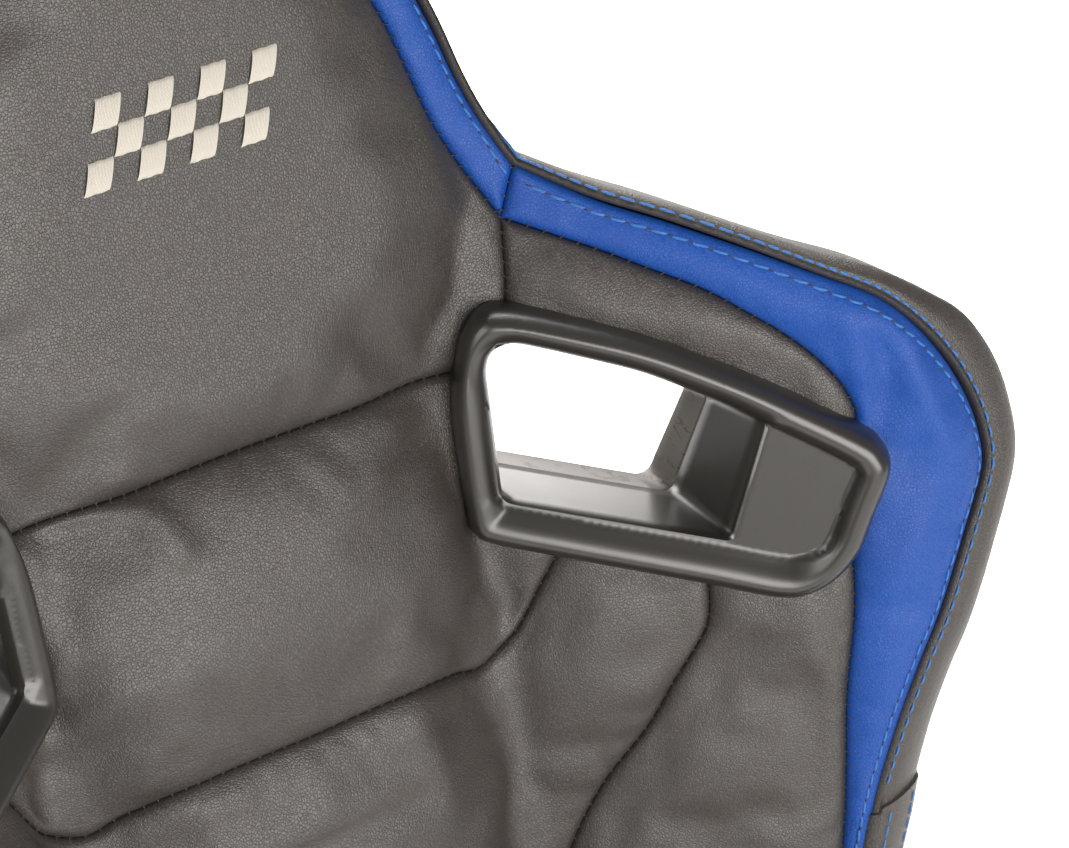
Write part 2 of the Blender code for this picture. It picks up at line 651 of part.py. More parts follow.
def slide_release(bar_joint):
    """The bar under the front of the cushion, with a lock plate on each arm."""
    half = [(BAR_ARM_X, BAR_TAIL, 0.0), (BAR_ARM_X, BAR_BEND - BAR_REACH, 0.0)]
    half += [(BAR_ARM_X - BAR_BEND * (1.0 - cos(a)), BAR_BEND * (1.0 - sin(a)) - BAR_REACH, 0.004 * sin(a))
             for a in (radians(15.0 * k) for k in range(1, 7))]
    path = [*half, *[(-x, y, z) for x, y, z in half[::-1]]]
    tube("slide_release_bar", path, BAR_R, STEEL, bar_joint)
    for side, sign in SIDES:
        a, b = sorted((sign * LOCK_X0, sign * LOCK_X1))
        plate = [(-0.030, -0.006), (-0.016, -0.006), (-0.016, -0.011), (-0.010, -0.011), (-0.010, -0.006),
                 (-0.004, -0.006), (-0.004, -0.011), (0.002, -0.011), (0.002, -0.006), (0.010, -0.006),
                 (0.010, 0.008), (-0.030, 0.008)]
        plate_x(f"lock_plate_{side}", plate, a, b, ZINC, bar_joint)


def back_frame(back):
    """The bent tube loop inside the back, its cross tubes, wires and recliner brackets."""
    def forward(across, height):
        low = between(height, [(-0.420, -0.038), (-0.180, 0.0)])
        return wing(across, height) - TUBE_SET_BACK + low * smooth_step((abs(across) - 0.090) / 0.070)

    half = curve_through(FRAME_PATH, 3)
    loop = [*half, *[(-x, y) for x, y in half[::-1][1:]]]
    loop_places = [on_back(a, h, forward(a, h)) for a, h in loop]
    tube("back_frame", loop_places, TUBE_R, STEEL, back)

    def cross(name, height, reach, radius, resolution):
        count = 14
        steps = [reach * (2 * k / count - 1) for k in range(count + 1)]
        places = [on_back(a, height, forward(a, height) - 0.001) for a in steps]
        tube(name, places, radius, STEEL, back, resolution)

    cross("cross_tube_shoulder", 0.096, 0.0805, CROSS_R, 2)
    cross("cross_tube_waist", -0.120, 0.1700, CROSS_R, 2)
    cross("support_wire_upper", -0.240, 0.1625, 0.002, 1)
    cross("support_wire_lower", -0.340, 0.1665, 0.002, 1)
    for side, sign in SIDES:
        a, b = sorted((sign * BRACKET_X, sign * (BRACKET_X + BRACKET_T)))
        top = SLOT_HEIGHT - 0.415
        outline = [*arc((0.0, 0.0), DISC_R, 170.0, 370.0, 14), (0.026, 0.070), (0.024, top - 0.010),
                   (0.014, top), (-0.006, top), (-0.014, top - 0.010), (-0.016, 0.070)]
        plate_x(f"back_bracket_{side}", outline, a, b, STEEL, back, [circle((0.0, 0.0), ROD_BORE, 16)])


def rear_cover(back):
    """The tray behind the pads, with its edge coming forward to the pads' edge."""
    half = [*curve_through(HEAD_EDGE, 2)[:-1], *curve_through(WING_EDGE, 2), (0.120, -0.520),
            (0.0, BACK_BOTTOM)]
    edge = both_halves(half)
    holes = [grown(sided(GUIDE_MOUTH, sign), GUIDE_WALL + 0.0006) for _, sign in SIDES]
    flats = [grown(sided(GUIDE_MOUTH, sign), GUIDE_FLANGE_WIDTH + 0.0015) for _, sign in SIDES]
    cover = back_solid("rear_cover", grown(edge, BOXING), pad_face, cover_rear, BLACK, back, holes, GRID,
                       flats)
    hollow = back_solid("rear_cover_hollow", grown(edge, 0.0005), offset(face, 0.06), cover_floor, BLACK,
                        back, holes, GRID, flats)
    boolean(cover, hollow, "DIFFERENCE")
    for side, sign in SIDES:
        across = sorted((sign * (BRACKET_X - 0.003), sign * (BRACKET_X + BRACKET_T + 0.0095)))
        slot = box_loop(across[0], -0.560, across[1], -0.430)
        cutter = back_solid(f"bracket_slot_{side}", slot, level(0.022), level(-0.029), BLACK, back)
        boolean(cover, cutter, "DIFFERENCE")


def pads(back):
    """The foam pads of the back, one for each sewn section."""
    head = curve_through(HEAD_EDGE, 2)
    wing_edge = curve_through(WING_EDGE, 2)
    seam_mid = curve_through(SEAM_MID, 2)
    seam_lower = curve_through(SEAM_LOWER, 2)
    neck = curve_through(SEAM_NECK, 2)
    head_band = curve_through(HEAD_BAND, 2)
    band_upper = curve_through(BAND_UPPER, 2)
    band_lower = curve_through(BAND_LOWER, 2)

    # Where the seams run in under the harness guide's rim.
    inner_top, inner_low = (0.0865, SEAM_HEAD), (0.0860, -0.016)
    under_mid, under_lower = (0.117, -0.0305), (0.159, -0.0475)
    tip_low, tip_top = (0.1985, -0.0465), (0.2035, -0.006)
    neck_low = (0.1075, 0.055)

    head_half = [(0.0, SEAM_HEAD), inner_top, (0.091, 0.051), neck_low, *neck, *head_band[1:]]
    crown = [p for p in head if p[0] < HEAD_BAND[-1][0]]
    head_loop = both_halves([*crown, *head_half[::-1]])
    pad("head_pad", head_loop, BLACK, back)
    mid_half = [(0.0, SEAM_HEAD), inner_top, inner_low, (0.0895, -0.0265), under_mid, *seam_mid[::-1]]
    pad("mid_back_pad", both_halves(mid_half), BLACK, back)
    bottom = (0.100, -0.520)
    lumbar_half = [*seam_mid, under_mid, under_lower, *seam_lower[:-1], bottom, (0.0, BACK_BOTTOM + 0.002)]
    pad("lumbar_pad", both_halves(lumbar_half), BLACK, back)

    crown_edge = [p for p in head if p[0] >= HEAD_BAND[-1][0]]
    lower_edge = [p for p in wing_edge if p[1] <= BAND_LOWER[-1][1] + 0.004]
    upper_edge = [p for p in wing_edge if p[1] > BAND_LOWER[-1][1] + 0.004]
    for side, sign in SIDES:
        strip = [*head_band, *crown_edge[:-1], HEAD_EDGE[-1]]
        pad(f"head_band_{side}", sided(strip, sign), BLUE, back, spacing=0.0)
        shoulder = [neck_low, *neck, *band_upper[1:], tip_top, (0.163, 0.024), (0.131, 0.0435)]
        pad(f"shoulder_pad_{side}", sided(shoulder, sign), BLACK, back)
        band = [*band_upper, tip_top, (0.2105, -0.013), (0.2115, -0.019), (0.209, -0.027),
                tip_low, *band_lower, *upper_edge[::-1]]
        pad(f"wing_band_{side}", sided(band, sign), BLUE, back, spacing=0.03)
        bolster = [under_lower, *seam_lower[:-1], bottom, (0.150, -0.490), *lower_edge[::-1],
                   *band_lower[::-1], tip_low, (0.194, -0.0515), (0.185, -0.0555), (0.173, -0.0535)]
        pad(f"side_bolster_{side}", sided(bolster, sign), BLACK, back)


def harness_guides(back):
    """Two-part moulded guides: a rimmed front half and a flanged rear half, parted inside the back."""
    for side, sign in SIDES:
        edge, mouth, plate = (sided(loop, sign) for loop in (GUIDE_EDGE, GUIDE_MOUTH, GUIDE_PLATE))
        wall = grown(mouth, GUIDE_WALL)
        beyond = 0.030
        front = back_solid(f"harness_guide_front_{side}", edge, offset(guide_plane, GUIDE_LIP),
                           offset(guide_plane, GAP), PLASTIC, back)
        sleeve = back_solid(f"guide_sleeve_{side}", wall, offset(guide_plane, 0.006),
                            offset(guide_plane, -GUIDE_FRONT_DEPTH), PLASTIC, back)
        recess = back_solid(f"guide_recess_{side}", plate, offset(guide_plane, beyond),
                            offset(guide_plane, GUIDE_PLATE_LEVEL), PLASTIC, back)
        through = back_solid(f"guide_mouth_{side}", mouth, offset(guide_plane, beyond),
                             offset(guide_plane, -0.060 - beyond), PLASTIC, back)
        boolean(front, sleeve, "UNION")
        boolean(front, recess, "DIFFERENCE")
        boolean(front, through, "DIFFERENCE")
        flange = grown(mouth, GUIDE_FLANGE_WIDTH)
        rear = back_solid(f"harness_guide_rear_{side}", flange, offset(guide_back, -GAP),
                          offset(guide_back, -GUIDE_FLANGE), PLASTIC, back)
        rear_sleeve = back_solid(f"rear_sleeve_{side}", wall, offset(guide_plane, -GUIDE_FRONT_DEPTH - GAP),
                                 offset(guide_back, -0.002), PLASTIC, back)
        boolean(rear, rear_sleeve, "UNION")
        boolean(rear, through, "DIFFERENCE")


def main():
    for old in list(bpy.data.objects):
        bpy.data.objects.remove(old)
    rails = empty("rails", (0.0, ORIGIN_Y, 0.0))
    seat = empty("seat_carriage", (0.0, 0.0, 0.0), rails)
    pivot = (0.0, PIVOT_Y, PIVOT_Z)
    back = empty("recline_axis", pivot, seat, lean=-radians(RECLINE_DEG))
    lever = empty("lever_axis", pivot, seat)
    bar_joint = empty("release_bar_axis", (0.0, *BAR_AXIS), seat)
    slide_rails(rails, seat)
    base_frame(seat)
    cushion(seat)
    recliners(back, empty("recliner_seat", pivot, seat), lever)
    side_covers(seat)
    levers(lever)
    slide_release(bar_joint)
    back_frame(back)
    rear_cover(back)
    pads(back)
    harness_guides(back)


main()
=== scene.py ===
"""Looks of a reclining half-shell racing seat, made round its CAD frame.

Metres, +Z up; the seat faces -Y. Everything on the back is made upright in the back's own frame
and then leant: (across, height from the harness guides' reference height, forward).
"""

import bpy  # noqa: E402
import numpy as np  # noqa: E402
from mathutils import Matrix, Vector  # noqa: E402
from mathutils.geometry import delaunay_2d_cdt  # noqa: E402
from mathutils.kdtree import KDTree  # noqa: E402


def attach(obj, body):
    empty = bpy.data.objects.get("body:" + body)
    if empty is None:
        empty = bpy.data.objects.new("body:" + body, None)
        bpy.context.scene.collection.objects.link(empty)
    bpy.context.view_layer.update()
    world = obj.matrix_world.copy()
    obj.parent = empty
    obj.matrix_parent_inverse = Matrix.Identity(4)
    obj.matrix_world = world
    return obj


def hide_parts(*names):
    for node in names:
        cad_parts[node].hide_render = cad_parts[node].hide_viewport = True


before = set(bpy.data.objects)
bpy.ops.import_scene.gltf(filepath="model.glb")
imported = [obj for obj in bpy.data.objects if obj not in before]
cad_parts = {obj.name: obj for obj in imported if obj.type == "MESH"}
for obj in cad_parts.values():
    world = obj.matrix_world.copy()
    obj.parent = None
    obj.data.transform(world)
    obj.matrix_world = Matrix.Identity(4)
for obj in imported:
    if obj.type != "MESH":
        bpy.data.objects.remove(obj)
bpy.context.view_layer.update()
SCENE = bpy.context.scene

# ---------------------------------------------------------------- the back's frame and surfaces
PIVOT_Y, PIVOT_Z = 0.1374, 0.190
LEAN = np.radians(14.0)
SLOT_HEIGHT = 0.585  # harness guides' reference height, from the pivot
WING_SLOPE = 0.65
WING_CREST = 0.090
WING_ROOT = 0.084
NECK_ROOT = 0.118
NECK_START, NECK_LENGTH = 0.040, 0.075  # where the wings' root moves out to the head section's
ROOT_BEND = 0.009  # half the width of the bend at a wing's root
FACE_BEND = 0.015  # the same on the leather
CREST_BEND = 0.016
PAD_DEPTH = 0.016
STRETCH = float(np.hypot(1.0, WING_SLOPE))  # length on the wings for each metre across

SIDES = (("right", 1.0), ("left", -1.0))


def smooth_step(x):
    x = np.clip(x, 0.0, 1.0)
    return x * x * (3.0 - 2.0 * x)


def soft_ramp(x, width):
    bent = (x + width) ** 2 / (4.0 * width)
    return np.where(x <= -width, 0.0, np.where(x >= width, x, bent))


def soft_min(a, b, width):
    share = np.clip(0.5 + 0.5 * (b - a) / width, 0.0, 1.0)
    return b + (a - b) * share - width * share * (1.0 - share)


def soft_table(x, xs, ys, width=0.030):
    """Straight-line values with their corners rounded off."""
    return np.mean([np.interp(x + shift * width, xs, ys) for shift in np.linspace(-1.0, 1.0, 7)], axis=0)


def unit(vectors):
    return vectors / np.maximum(np.linalg.norm(vectors, axis=1), 1e-9)[:, None]


def wing_root(height):
    return WING_ROOT + (NECK_ROOT - WING_ROOT) * smooth_step((height - NECK_START) / NECK_LENGTH)


def wing_rise(beyond, bend=ROOT_BEND):
    """Rise of a wing at a distance out from its root."""
    return soft_min(WING_SLOPE * soft_ramp(beyond, bend), WING_CREST, CREST_BEND)


def wing(across, height):
    """How far forward the wings' face is."""
    return wing_rise(np.abs(across) - wing_root(height))


# heights on the back, and how far the padding bulges forward between the wings there
BULGES = ((-0.520, -0.300, -0.100, -0.020, 0.040, 0.110, 0.170, 0.260),
          (0.020, 0.028, 0.022, 0.021, 0.012, 0.002, -0.002, -0.008))
BULGE_EDGE, BULGE_FADE = 0.044, 0.058  # where the bulge starts to fade inside the root, and over how far


def face(across, height):
    """The leather's front face: softer than the foam's at the wings' roots."""
    inward = np.abs(across) - wing_root(height)
    share = 1.0 - smooth_step((inward + BULGE_EDGE) / BULGE_FADE)
    return wing_rise(inward, FACE_BEND) + np.interp(height, *BULGES) * share


def pad_rear(across, height):
    return wing(across, height) - PAD_DEPTH


REAR_ROOT = 0.004  # how much farther out the rear cover's wings start
REAR_NECK_START, REAR_NECK_LENGTH = 0.066, 0.060
REAR_RISE = ((-0.360, -0.150), (0.38, 1.0))  # (heights, shares of the wings' rise)
REAR_DEPTH = ((-0.400, -0.120), (0.058, 0.046))  # (heights, depths)


def cover_rear(across, height):
    neck = smooth_step((height - REAR_NECK_START) / REAR_NECK_LENGTH)
    root = WING_ROOT + REAR_ROOT + (NECK_ROOT - WING_ROOT) * neck
    rise = wing_rise(np.abs(across) - root)
    return rise * np.interp(height, *REAR_RISE) - np.interp(height, *REAR_DEPTH)


GUIDE_STAND = 0.0022  # how far a guide's plane is in front of the wing


def guide_plane(across, _height):
    """The flat plane that a harness guide's rim lies on, the same at every height."""
    return WING_SLOPE * (np.abs(across) - WING_ROOT) + GUIDE_STAND


def leant(points):
    """Points of the upright back's frame, in the seat's frame."""
    across, height, forward = np.asarray(points, float).T
    up = height + SLOT_HEIGHT
    y = PIVOT_Y - forward * np.cos(LEAN) + up * np.sin(LEAN)
    z = PIVOT_Z + forward * np.sin(LEAN) + up * np.cos(LEAN)
    return np.column_stack([across, y, z])


def as_is(points):
    return np.asarray(points, float)


def stretched(flat):
    """Flat positions with lengths across the wings as they are on the leather."""
    flat = np.asarray(flat, float)
    size = np.abs(flat[:, 0])
    wide = np.minimum(size, WING_ROOT) + np.maximum(size - WING_ROOT, 0.0) * STRETCH
    return np.column_stack([np.sign(flat[:, 0]) * wide, flat[:, 1]])


def unstretched(wide):
    size = np.abs(wide[:, 0])
    narrow = np.minimum(size, WING_ROOT) + np.maximum(size - WING_ROOT, 0.0) / STRETCH
    return np.column_stack([np.sign(wide[:, 0]) * narrow, wide[:, 1]])


def surface_normal(surface, flat, step=0.0006):
    """Unit normals of a height surface, in (across, height, forward)."""
    a, h = flat.T
    slope_a = (surface(a + step, h) - surface(a - step, h)) / (2 * step)
    slope_h = (surface(a, h + step) - surface(a, h - step)) / (2 * step)
    return unit(np.column_stack([-slope_a, -slope_h, np.ones(len(a))]))


# ---------------------------------------------------------------- lines and flat shapes
def smooth_line(points, spacing, closed=False):
    """A smooth line through the points, in even steps of about `spacing`."""
    points = np.asarray(points, float)
    if closed:
        padded = np.vstack([points[-1:], points, points[:2]])
    else:
        padded = np.vstack([points[:1], points, points[-1:]])
    t = np.linspace(0.0, 1.0, 12, endpoint=False)[:, None]
    dense = []
    for p0, p1, p2, p3 in zip(padded, padded[1:], padded[2:], padded[3:]):
        dense.append(0.5 * (2 * p1 + (p2 - p0) * t + (2 * p0 - 5 * p1 + 4 * p2 - p3) * t ** 2
                            + (3 * p1 - p0 - 3 * p2 + p3) * t ** 3))
    dense = np.vstack([*dense, points[:1] if closed else points[-1:]])
    return even_line(dense, spacing)[: -1 if closed else None]


def lengths_along(line):
    """Distance along an open line at each of its points."""
    return np.concatenate([[0.0], np.cumsum(np.linalg.norm(np.diff(line, axis=0), axis=1))])


def places_at(wanted, length, line):
    """Points of a line at the wanted distances along it."""
    return np.column_stack([np.interp(wanted, length, line[:, k]) for k in range(line.shape[1])])


def even_line(dense, spacing):
    length = lengths_along(dense)
    count = max(1, int(round(length[-1] / spacing)))
    return places_at(np.linspace(0.0, length[-1], count + 1), length, dense)


def evenly_closed(loop, spacing):
    """The closed loop with no side longer than `spacing`; its corners stay."""
    loop = np.asarray(loop, float)
    found = []
    for a, b in zip(loop, np.roll(loop, -1, 0)):
        count = max(1, int(np.ceil(np.linalg.norm(b - a) / spacing)))
        found.append(a + (b - a) * np.linspace(0.0, 1.0, count, endpoint=False)[:, None])
    return np.vstack(found)


def area_of(loop):
    x, y = np.asarray(loop).T
    return 0.5 * float(np.sum(x * np.roll(y, -1) - np.roll(x, -1) * y))


def anticlockwise(loop):
    loop = np.asarray(loop, float)
    return loop if area_of(loop) > 0 else loop[::-1]


def outward_normals(loop):
    """Unit normals of an anticlockwise closed loop, pointing out of it."""
    along = np.roll(loop, -1, 0) - np.roll(loop, 1, 0)
    return unit(np.column_stack([along[:, 1], -along[:, 0]]))


def outward_open(line):
    """Unit normals beside an open line."""
    along = np.gradient(np.asarray(line, float), axis=0)
    return unit(np.column_stack([along[:, 1], -along[:, 0]]))


def grown(loop, distance):
    loop = anticlockwise(loop)
    return loop + outward_normals(loop) * distance


def distance_to(points, lines):
    """Distance of each point to the nearest of some closed lines."""
    points = np.asarray(points, float)
    best = np.full(len(points), np.inf)
    for line in lines:
        start = np.asarray(line, float)
        span = np.roll(start, -1, 0) - start
        best = np.minimum(best, segment_distance(points, start, span))
    return best


def distance_to_open(points, line):
    line = np.asarray(line, float)
    return segment_distance(np.asarray(points, float), line[:-1], np.diff(line, axis=0))


def segment_distance(points, start, span):
    best = np.full(len(points), np.inf)
    size = np.maximum((span ** 2).sum(1), 1e-16)
    for first in range(0, len(points), 4000):
        part = points[first:first + 4000, None, :] - start[None]
        share = np.clip((part * span).sum(2) / size, 0.0, 1.0)
        gap = part - share[:, :, None] * span
        best[first:first + 4000] = np.sqrt((gap ** 2).sum(2).min(1))
    return best


def inside(points, loop):
    points = np.asarray(points, float)
    x0, y0 = np.asarray(loop).T
    x1, y1 = np.roll(loop, -1, 0).T
    rise = np.where(np.abs(y1 - y0) < 1e-12, 1e-12, y1 - y0)
    x, y = points[:, :1], points[:, 1:]
    crossed = ((y0 > y) != (y1 > y)) & (x < x0 + (y - y0) * (x1 - x0) / rise)
    return crossed.sum(1) % 2 == 1


def mirrored(line):
    line = np.asarray(line, float)
    return (line * [-1.0, 1.0])[::-1]


def sided(line, sign):
    return np.asarray(line, float) if sign > 0 else mirrored(line)


def both_halves(half):
    half = np.asarray(half, float)
    other = mirrored(half)
    return np.vstack([half, other[np.abs(other[:, 0]) > 1e-6]])


def joined(*lines):
    """One line from several that follow on from each other, with no point twice."""
    points = [np.asarray(line, float).reshape(-1, 2) for line in lines]
    every = np.vstack(points)
    keep = np.concatenate([[True], np.linalg.norm(np.diff(every, axis=0), axis=1) > 1e-5])
    return every[keep]


# ---------------------------------------------------------------- meshes
def flat_sheet(loops, rings, grid):
    """(flat points, triangles) that fill loops[0] less the other loops.

    Rows of points follow the edges at the distances in `rings`, so that rolled edges are even.
    """
    loops = [anticlockwise(loop) for loop in loops]
    points, edges, count = [], [], 0
    for loop in loops:
        points.append(loop)
        edges += [(count + i, count + (i + 1) % len(loop)) for i in range(len(loop))]
        count += len(loop)
    for distance in rings:
        for number, loop in enumerate(loops):
            row = grown(loop, distance if number else -distance)
            kept = distance_to(row, loops) > 0.93 * distance
            kept &= inside(row, loops[0])
            places = np.flatnonzero(kept)
            lookup = {int(i): count + k for k, i in enumerate(places)}
            points.append(row[places])
            edges += [(lookup[i], lookup[(i + 1) % len(row)]) for i in lookup
                      if (i + 1) % len(row) in lookup]
            count += len(places)
    low, high = loops[0].min(0), loops[0].max(0)
    rows = np.arange(low[1], high[1], grid * 0.866)
    columns = np.arange(low[0], high[0], grid)
    x, y = np.meshgrid(columns, rows)
    x = x + (np.arange(len(rows)) % 2)[:, None] * grid / 2
    inner = np.column_stack([x.ravel(), y.ravel()])
    inner = inner[inside(inner, loops[0])]
    margin = (rings[-1] if len(rings) else 0.0) + 0.55 * grid
    inner = inner[distance_to(inner, loops) > margin]
    for hole in loops[1:]:
        inner = inner[~inside(inner, hole)]
    points.append(inner)
    every = np.vstack(points)
    found, _, triangles, *_ = delaunay_2d_cdt([Vector(p) for p in every], edges, [], 0, 1e-7)
    flat = np.array([(p.x, p.y) for p in found])
    triangles = np.array(triangles, int)
    centres = flat[triangles].mean(1)
    kept = inside(centres, loops[0])
    for hole in loops[1:]:
        kept &= ~inside(centres, hole)
    return flat, triangles[kept]


def open_edges(triangles):
    """Directed edges that only one triangle has."""
    pairs = np.vstack([triangles[:, [0, 1]], triangles[:, [1, 2]], triangles[:, [2, 0]]])
    known = set(map(tuple, pairs.tolist()))
    return [(i, j) for i, j in known if (j, i) not in known]


def add_mesh(name, points, faces, material, body, smooth_angle=40.0):
    mesh = bpy.data.meshes.new(name)
    mesh.from_pydata(np.asarray(points, float).tolist(), [], [tuple(map(int, f)) for f in faces])
    mesh.validate()
    mesh.materials.append(material)
    mesh.shade_smooth()
    mesh.set_sharp_from_angle(angle=np.radians(smooth_angle))
    made = bpy.data.objects.new(name, mesh)
    SCENE.collection.objects.link(made)
    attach(made, body)
    return made


def lofted(rows, closed_rows=False, closed_loop=True):
    """(points, faces) of a surface over rows of equally many points."""
    count = len(rows[0])
    points = np.vstack(rows)
    faces = []
    spans = len(rows) if closed_rows else len(rows) - 1
    steps = count if closed_loop else count - 1
    for r in range(spans):
        here, there = r * count, (r + 1) % len(rows) * count
        for i in range(steps):
            j = (i + 1) % count
            faces.append((here + i, here + j, there + j, there + i))
    return points, faces


def directions_along(line, closed=False):
    """Unit directions along a line of points."""
    return unit(np.roll(line, -1, 0) - np.roll(line, 1, 0) if closed else np.gradient(line, axis=0))


def tube_mesh(line, radius, sides=10, closed=False):
    """(points, faces) of a round tube on a 3-D line, with closed ends."""
    line = np.asarray(line, float)
    along = directions_along(line, closed)
    radii = np.broadcast_to(radius, len(line))
    side = np.cross(along[0], (0.0, 0.0, 1.0) if abs(along[0][2]) < 0.9 else (1.0, 0.0, 0.0))
    rows = []
    for place, ahead, size in zip(line, along, radii):
        side = side - ahead * np.dot(side, ahead)
        side = side / np.linalg.norm(side)
        other = np.cross(ahead, side)
        turn = np.linspace(0.0, 2 * np.pi, sides, endpoint=False)[:, None]
        rows.append(place + size * (np.cos(turn) * side + np.sin(turn) * other))
    points, faces = lofted(rows, closed_rows=closed)
    if not closed:
        last = len(line) - 1
        faces.append(tuple(range(sides))[::-1])
        faces.append(tuple(last * sides + k for k in range(sides)))
    return points, faces


def merged(parts):
    """One (points, faces) from several."""
    points, faces, count = [], [], 0
    for part_points, part_faces in parts:
        points.append(part_points)
        faces += [tuple(i + count for i in f) for f in part_faces]
        count += len(part_points)
    return np.vstack(points), faces


# ---------------------------------------------------------------- materials
def as_colour(value):
    return (value, value, value, 1.0) if isinstance(value, (int, float)) else (*value, 1.0)


class Look:
    """A procedural material in the making; each method adds a node and returns its output."""

    def __init__(self, name):
        self.material = bpy.data.materials.new(name)
        self.material.use_nodes = True
        self.tree = self.material.node_tree
        self.shader = self.tree.nodes["Principled BSDF"]

    def fill(self, socket, value):
        if isinstance(value, bpy.types.NodeSocket):
            self.tree.links.new(value, socket)
        else:
            socket.default_value = value

    def node(self, kind, output, inputs, **settings):
        made = self.tree.nodes.new(f"ShaderNode{kind}")
        for setting, value in settings.items():
            setattr(made, setting, value)
        for socket, value in inputs.items():
            self.fill(made.inputs[socket], value)
        return made.outputs[output]

    def finish(self, **inputs):
        """Fill the shader's sockets, named with _ for a space."""
        for socket, value in inputs.items():
            self.fill(self.shader.inputs[socket.replace("_", " ")], value)
        return self.material

    def place(self, scale=(1.0, 1.0, 1.0)):
        place = self.node("TexCoord", "Object", {})
        return self.node("Mapping", "Vector", {"Vector": place, "Scale": scale})

    def noise(self, vector, scale, detail=3.0, roughness=0.55, distortion=0.0):
        return self.node("TexNoise", "Fac", {"Vector": vector, "Scale": scale, "Detail": detail,
                                             "Roughness": roughness, "Distortion": distortion})

    def cells(self, vector, scale):
        return self.node("TexVoronoi", "Distance", {"Vector": vector, "Scale": scale},
                         feature="DISTANCE_TO_EDGE")

    def ramp(self, value, *stops):
        made = self.tree.nodes.new("ShaderNodeValToRGB")
        elements = made.color_ramp.elements
        for element, (place, colour) in zip(elements, (stops[0], stops[-1])):
            element.position, element.color = place, as_colour(colour)
        for place, colour in stops[1:-1]:
            elements.new(place).color = as_colour(colour)
        self.fill(made.inputs["Fac"], value)
        return made.outputs["Color"]

    def spread(self, value, low, high):
        """A 0 to 1 value spread over another range."""
        return self.node("MapRange", "Result", {"Value": value, "To Min": low, "To Max": high})

    def bump(self, height, distance, strength=1.0, under=None):
        inputs = {"Height": height, "Distance": distance, "Strength": strength}
        if under is not None:
            inputs["Normal"] = under
        return self.node("Bump", "Normal", inputs)

    def combine(self, operation, a, b):
        return self.node("Math", "Value", {0: a, 1: b}, operation=operation)

    def weighted(self, first, first_share, second, second_share):
        return self.combine("ADD", self.combine("MULTIPLY", first, first_share),
                            self.combine("MULTIPLY", second, second_share))

    def mixed(self, share, under, colour):
        return self.node("Mix", "Result", {"Factor": share, "A": under, "B": (*colour, 1.0)},
                         data_type="RGBA")


def leather(name, dark, light, roughness, specular):
    """Fine-grained artificial leather: pebbles about 1 mm across with creases between them."""
    look = Look(name)
    place = look.place()
    warp = look.node("TexNoise", "Color", {"Vector": place, "Scale": 260.0})
    shifted = look.node("VectorMath", "Vector", {0: warp, 1: (0.0011, 0.0011, 0.0011), 2: place},
                        operation="MULTIPLY_ADD")
    creases = look.ramp(look.cells(shifted, 860.0), (0.0, 0.0), (0.16, 0.75), (0.42, 1.0))
    folds = look.ramp(look.cells(shifted, 300.0), (0.0, 0.0), (0.10, 0.8), (0.30, 1.0))
    fine = look.noise(place, 2600.0, 2.0)
    mottle = look.noise(place, 34.0, 4.0, 0.6)
    broad = look.noise(place, 7.0, 3.0, 0.5)
    normal = look.bump(creases, 0.00010, 0.95)
    normal = look.bump(folds, 0.00007, 0.55, normal)
    normal = look.bump(fine, 0.00004, 0.35, normal)
    normal = look.bump(broad, 0.0011, 0.5, normal)
    # colour: random mottle, plus painted shade that darkens the creases between the pebbles
    tone = look.weighted(mottle, 0.30, creases, 0.55)
    gloss = look.weighted(mottle, 0.7, fine, 0.3)
    return look.finish(Base_Color=look.ramp(tone, (0.25, dark), (0.85, light)), Normal=normal,
                       Roughness=look.spread(gloss, roughness + 0.06, roughness - 0.06),
                       Specular_IOR_Level=specular)


SCUFF_COLOUR = (0.016, 0.015, 0.014)


def moulded_plastic(name, colour, roughness, scuffs=0.0, specular=0.5):
    """Satin moulded plastic with a fine spark-eroded texture, dust and, if asked for, dark scuffs."""
    look = Look(name)
    place = look.place()
    grain = look.noise(place, 2300.0, 3.0, 0.7)
    flow = look.noise(look.place((18.0, 18.0, 60.0)), 1.0, 4.0, 0.6)
    dust = look.noise(place, 900.0, 1.0)
    shade = [c * 0.8 for c in colour]
    dusty = [min(1.0, c * 1.9 + 0.018) for c in colour]
    specks = look.ramp(dust, (0.79, 0.0), (0.83, 0.35))
    tint = look.mixed(specks, look.ramp(flow, (0.3, shade), (0.7, colour)), dusty)
    if scuffs:
        rub = look.noise(look.place((60.0, 60.0, 260.0)), 1.0, 6.0, 0.7, 1.2)
        tint = look.mixed(look.ramp(rub, (0.53, 0.0), (0.60, scuffs)), tint, SCUFF_COLOUR)
    return look.finish(Base_Color=tint, Roughness=look.spread(flow, roughness + 0.05, roughness - 0.05),
                       Normal=look.bump(grain, 0.00006, 0.5), Specular_IOR_Level=specular)


def thread(name, colour, roughness=0.5):
    """Twisted sewing thread."""
    look = Look(name)
    twist = look.node("TexWave", "Fac", {"Vector": look.place(), "Scale": 900.0, "Distortion": 2.0},
                      bands_direction="DIAGONAL")
    # painted shade: the twist's low grooves are coloured darker than its ridges
    dark = [c * 0.55 for c in colour]
    return look.finish(Base_Color=look.ramp(twist, (0.2, dark), (0.7, colour)),
                       Normal=look.bump(twist, 0.0001, 0.6), Roughness=roughness, Sheen_Weight=0.25)


def metal(name, colour, roughness, metallic, stretch=(40.0, 40.0, 40.0), orange_peel=0.00005):
    """Plated, painted or bare metal with uneven gloss."""
    look = Look(name)
    cloud = look.noise(look.place(stretch), 1.0, 5.0, 0.6)
    fine = look.noise(look.place(), 700.0, 2.0)
    dark = [c * 0.75 for c in colour]
    return look.finish(Base_Color=look.ramp(cloud, (0.3, dark), (0.7, colour)),
                       Roughness=look.spread(cloud, roughness + 0.08, roughness - 0.06),
                       Normal=look.bump(fine, orange_peel, 0.5), Metallic=metallic)


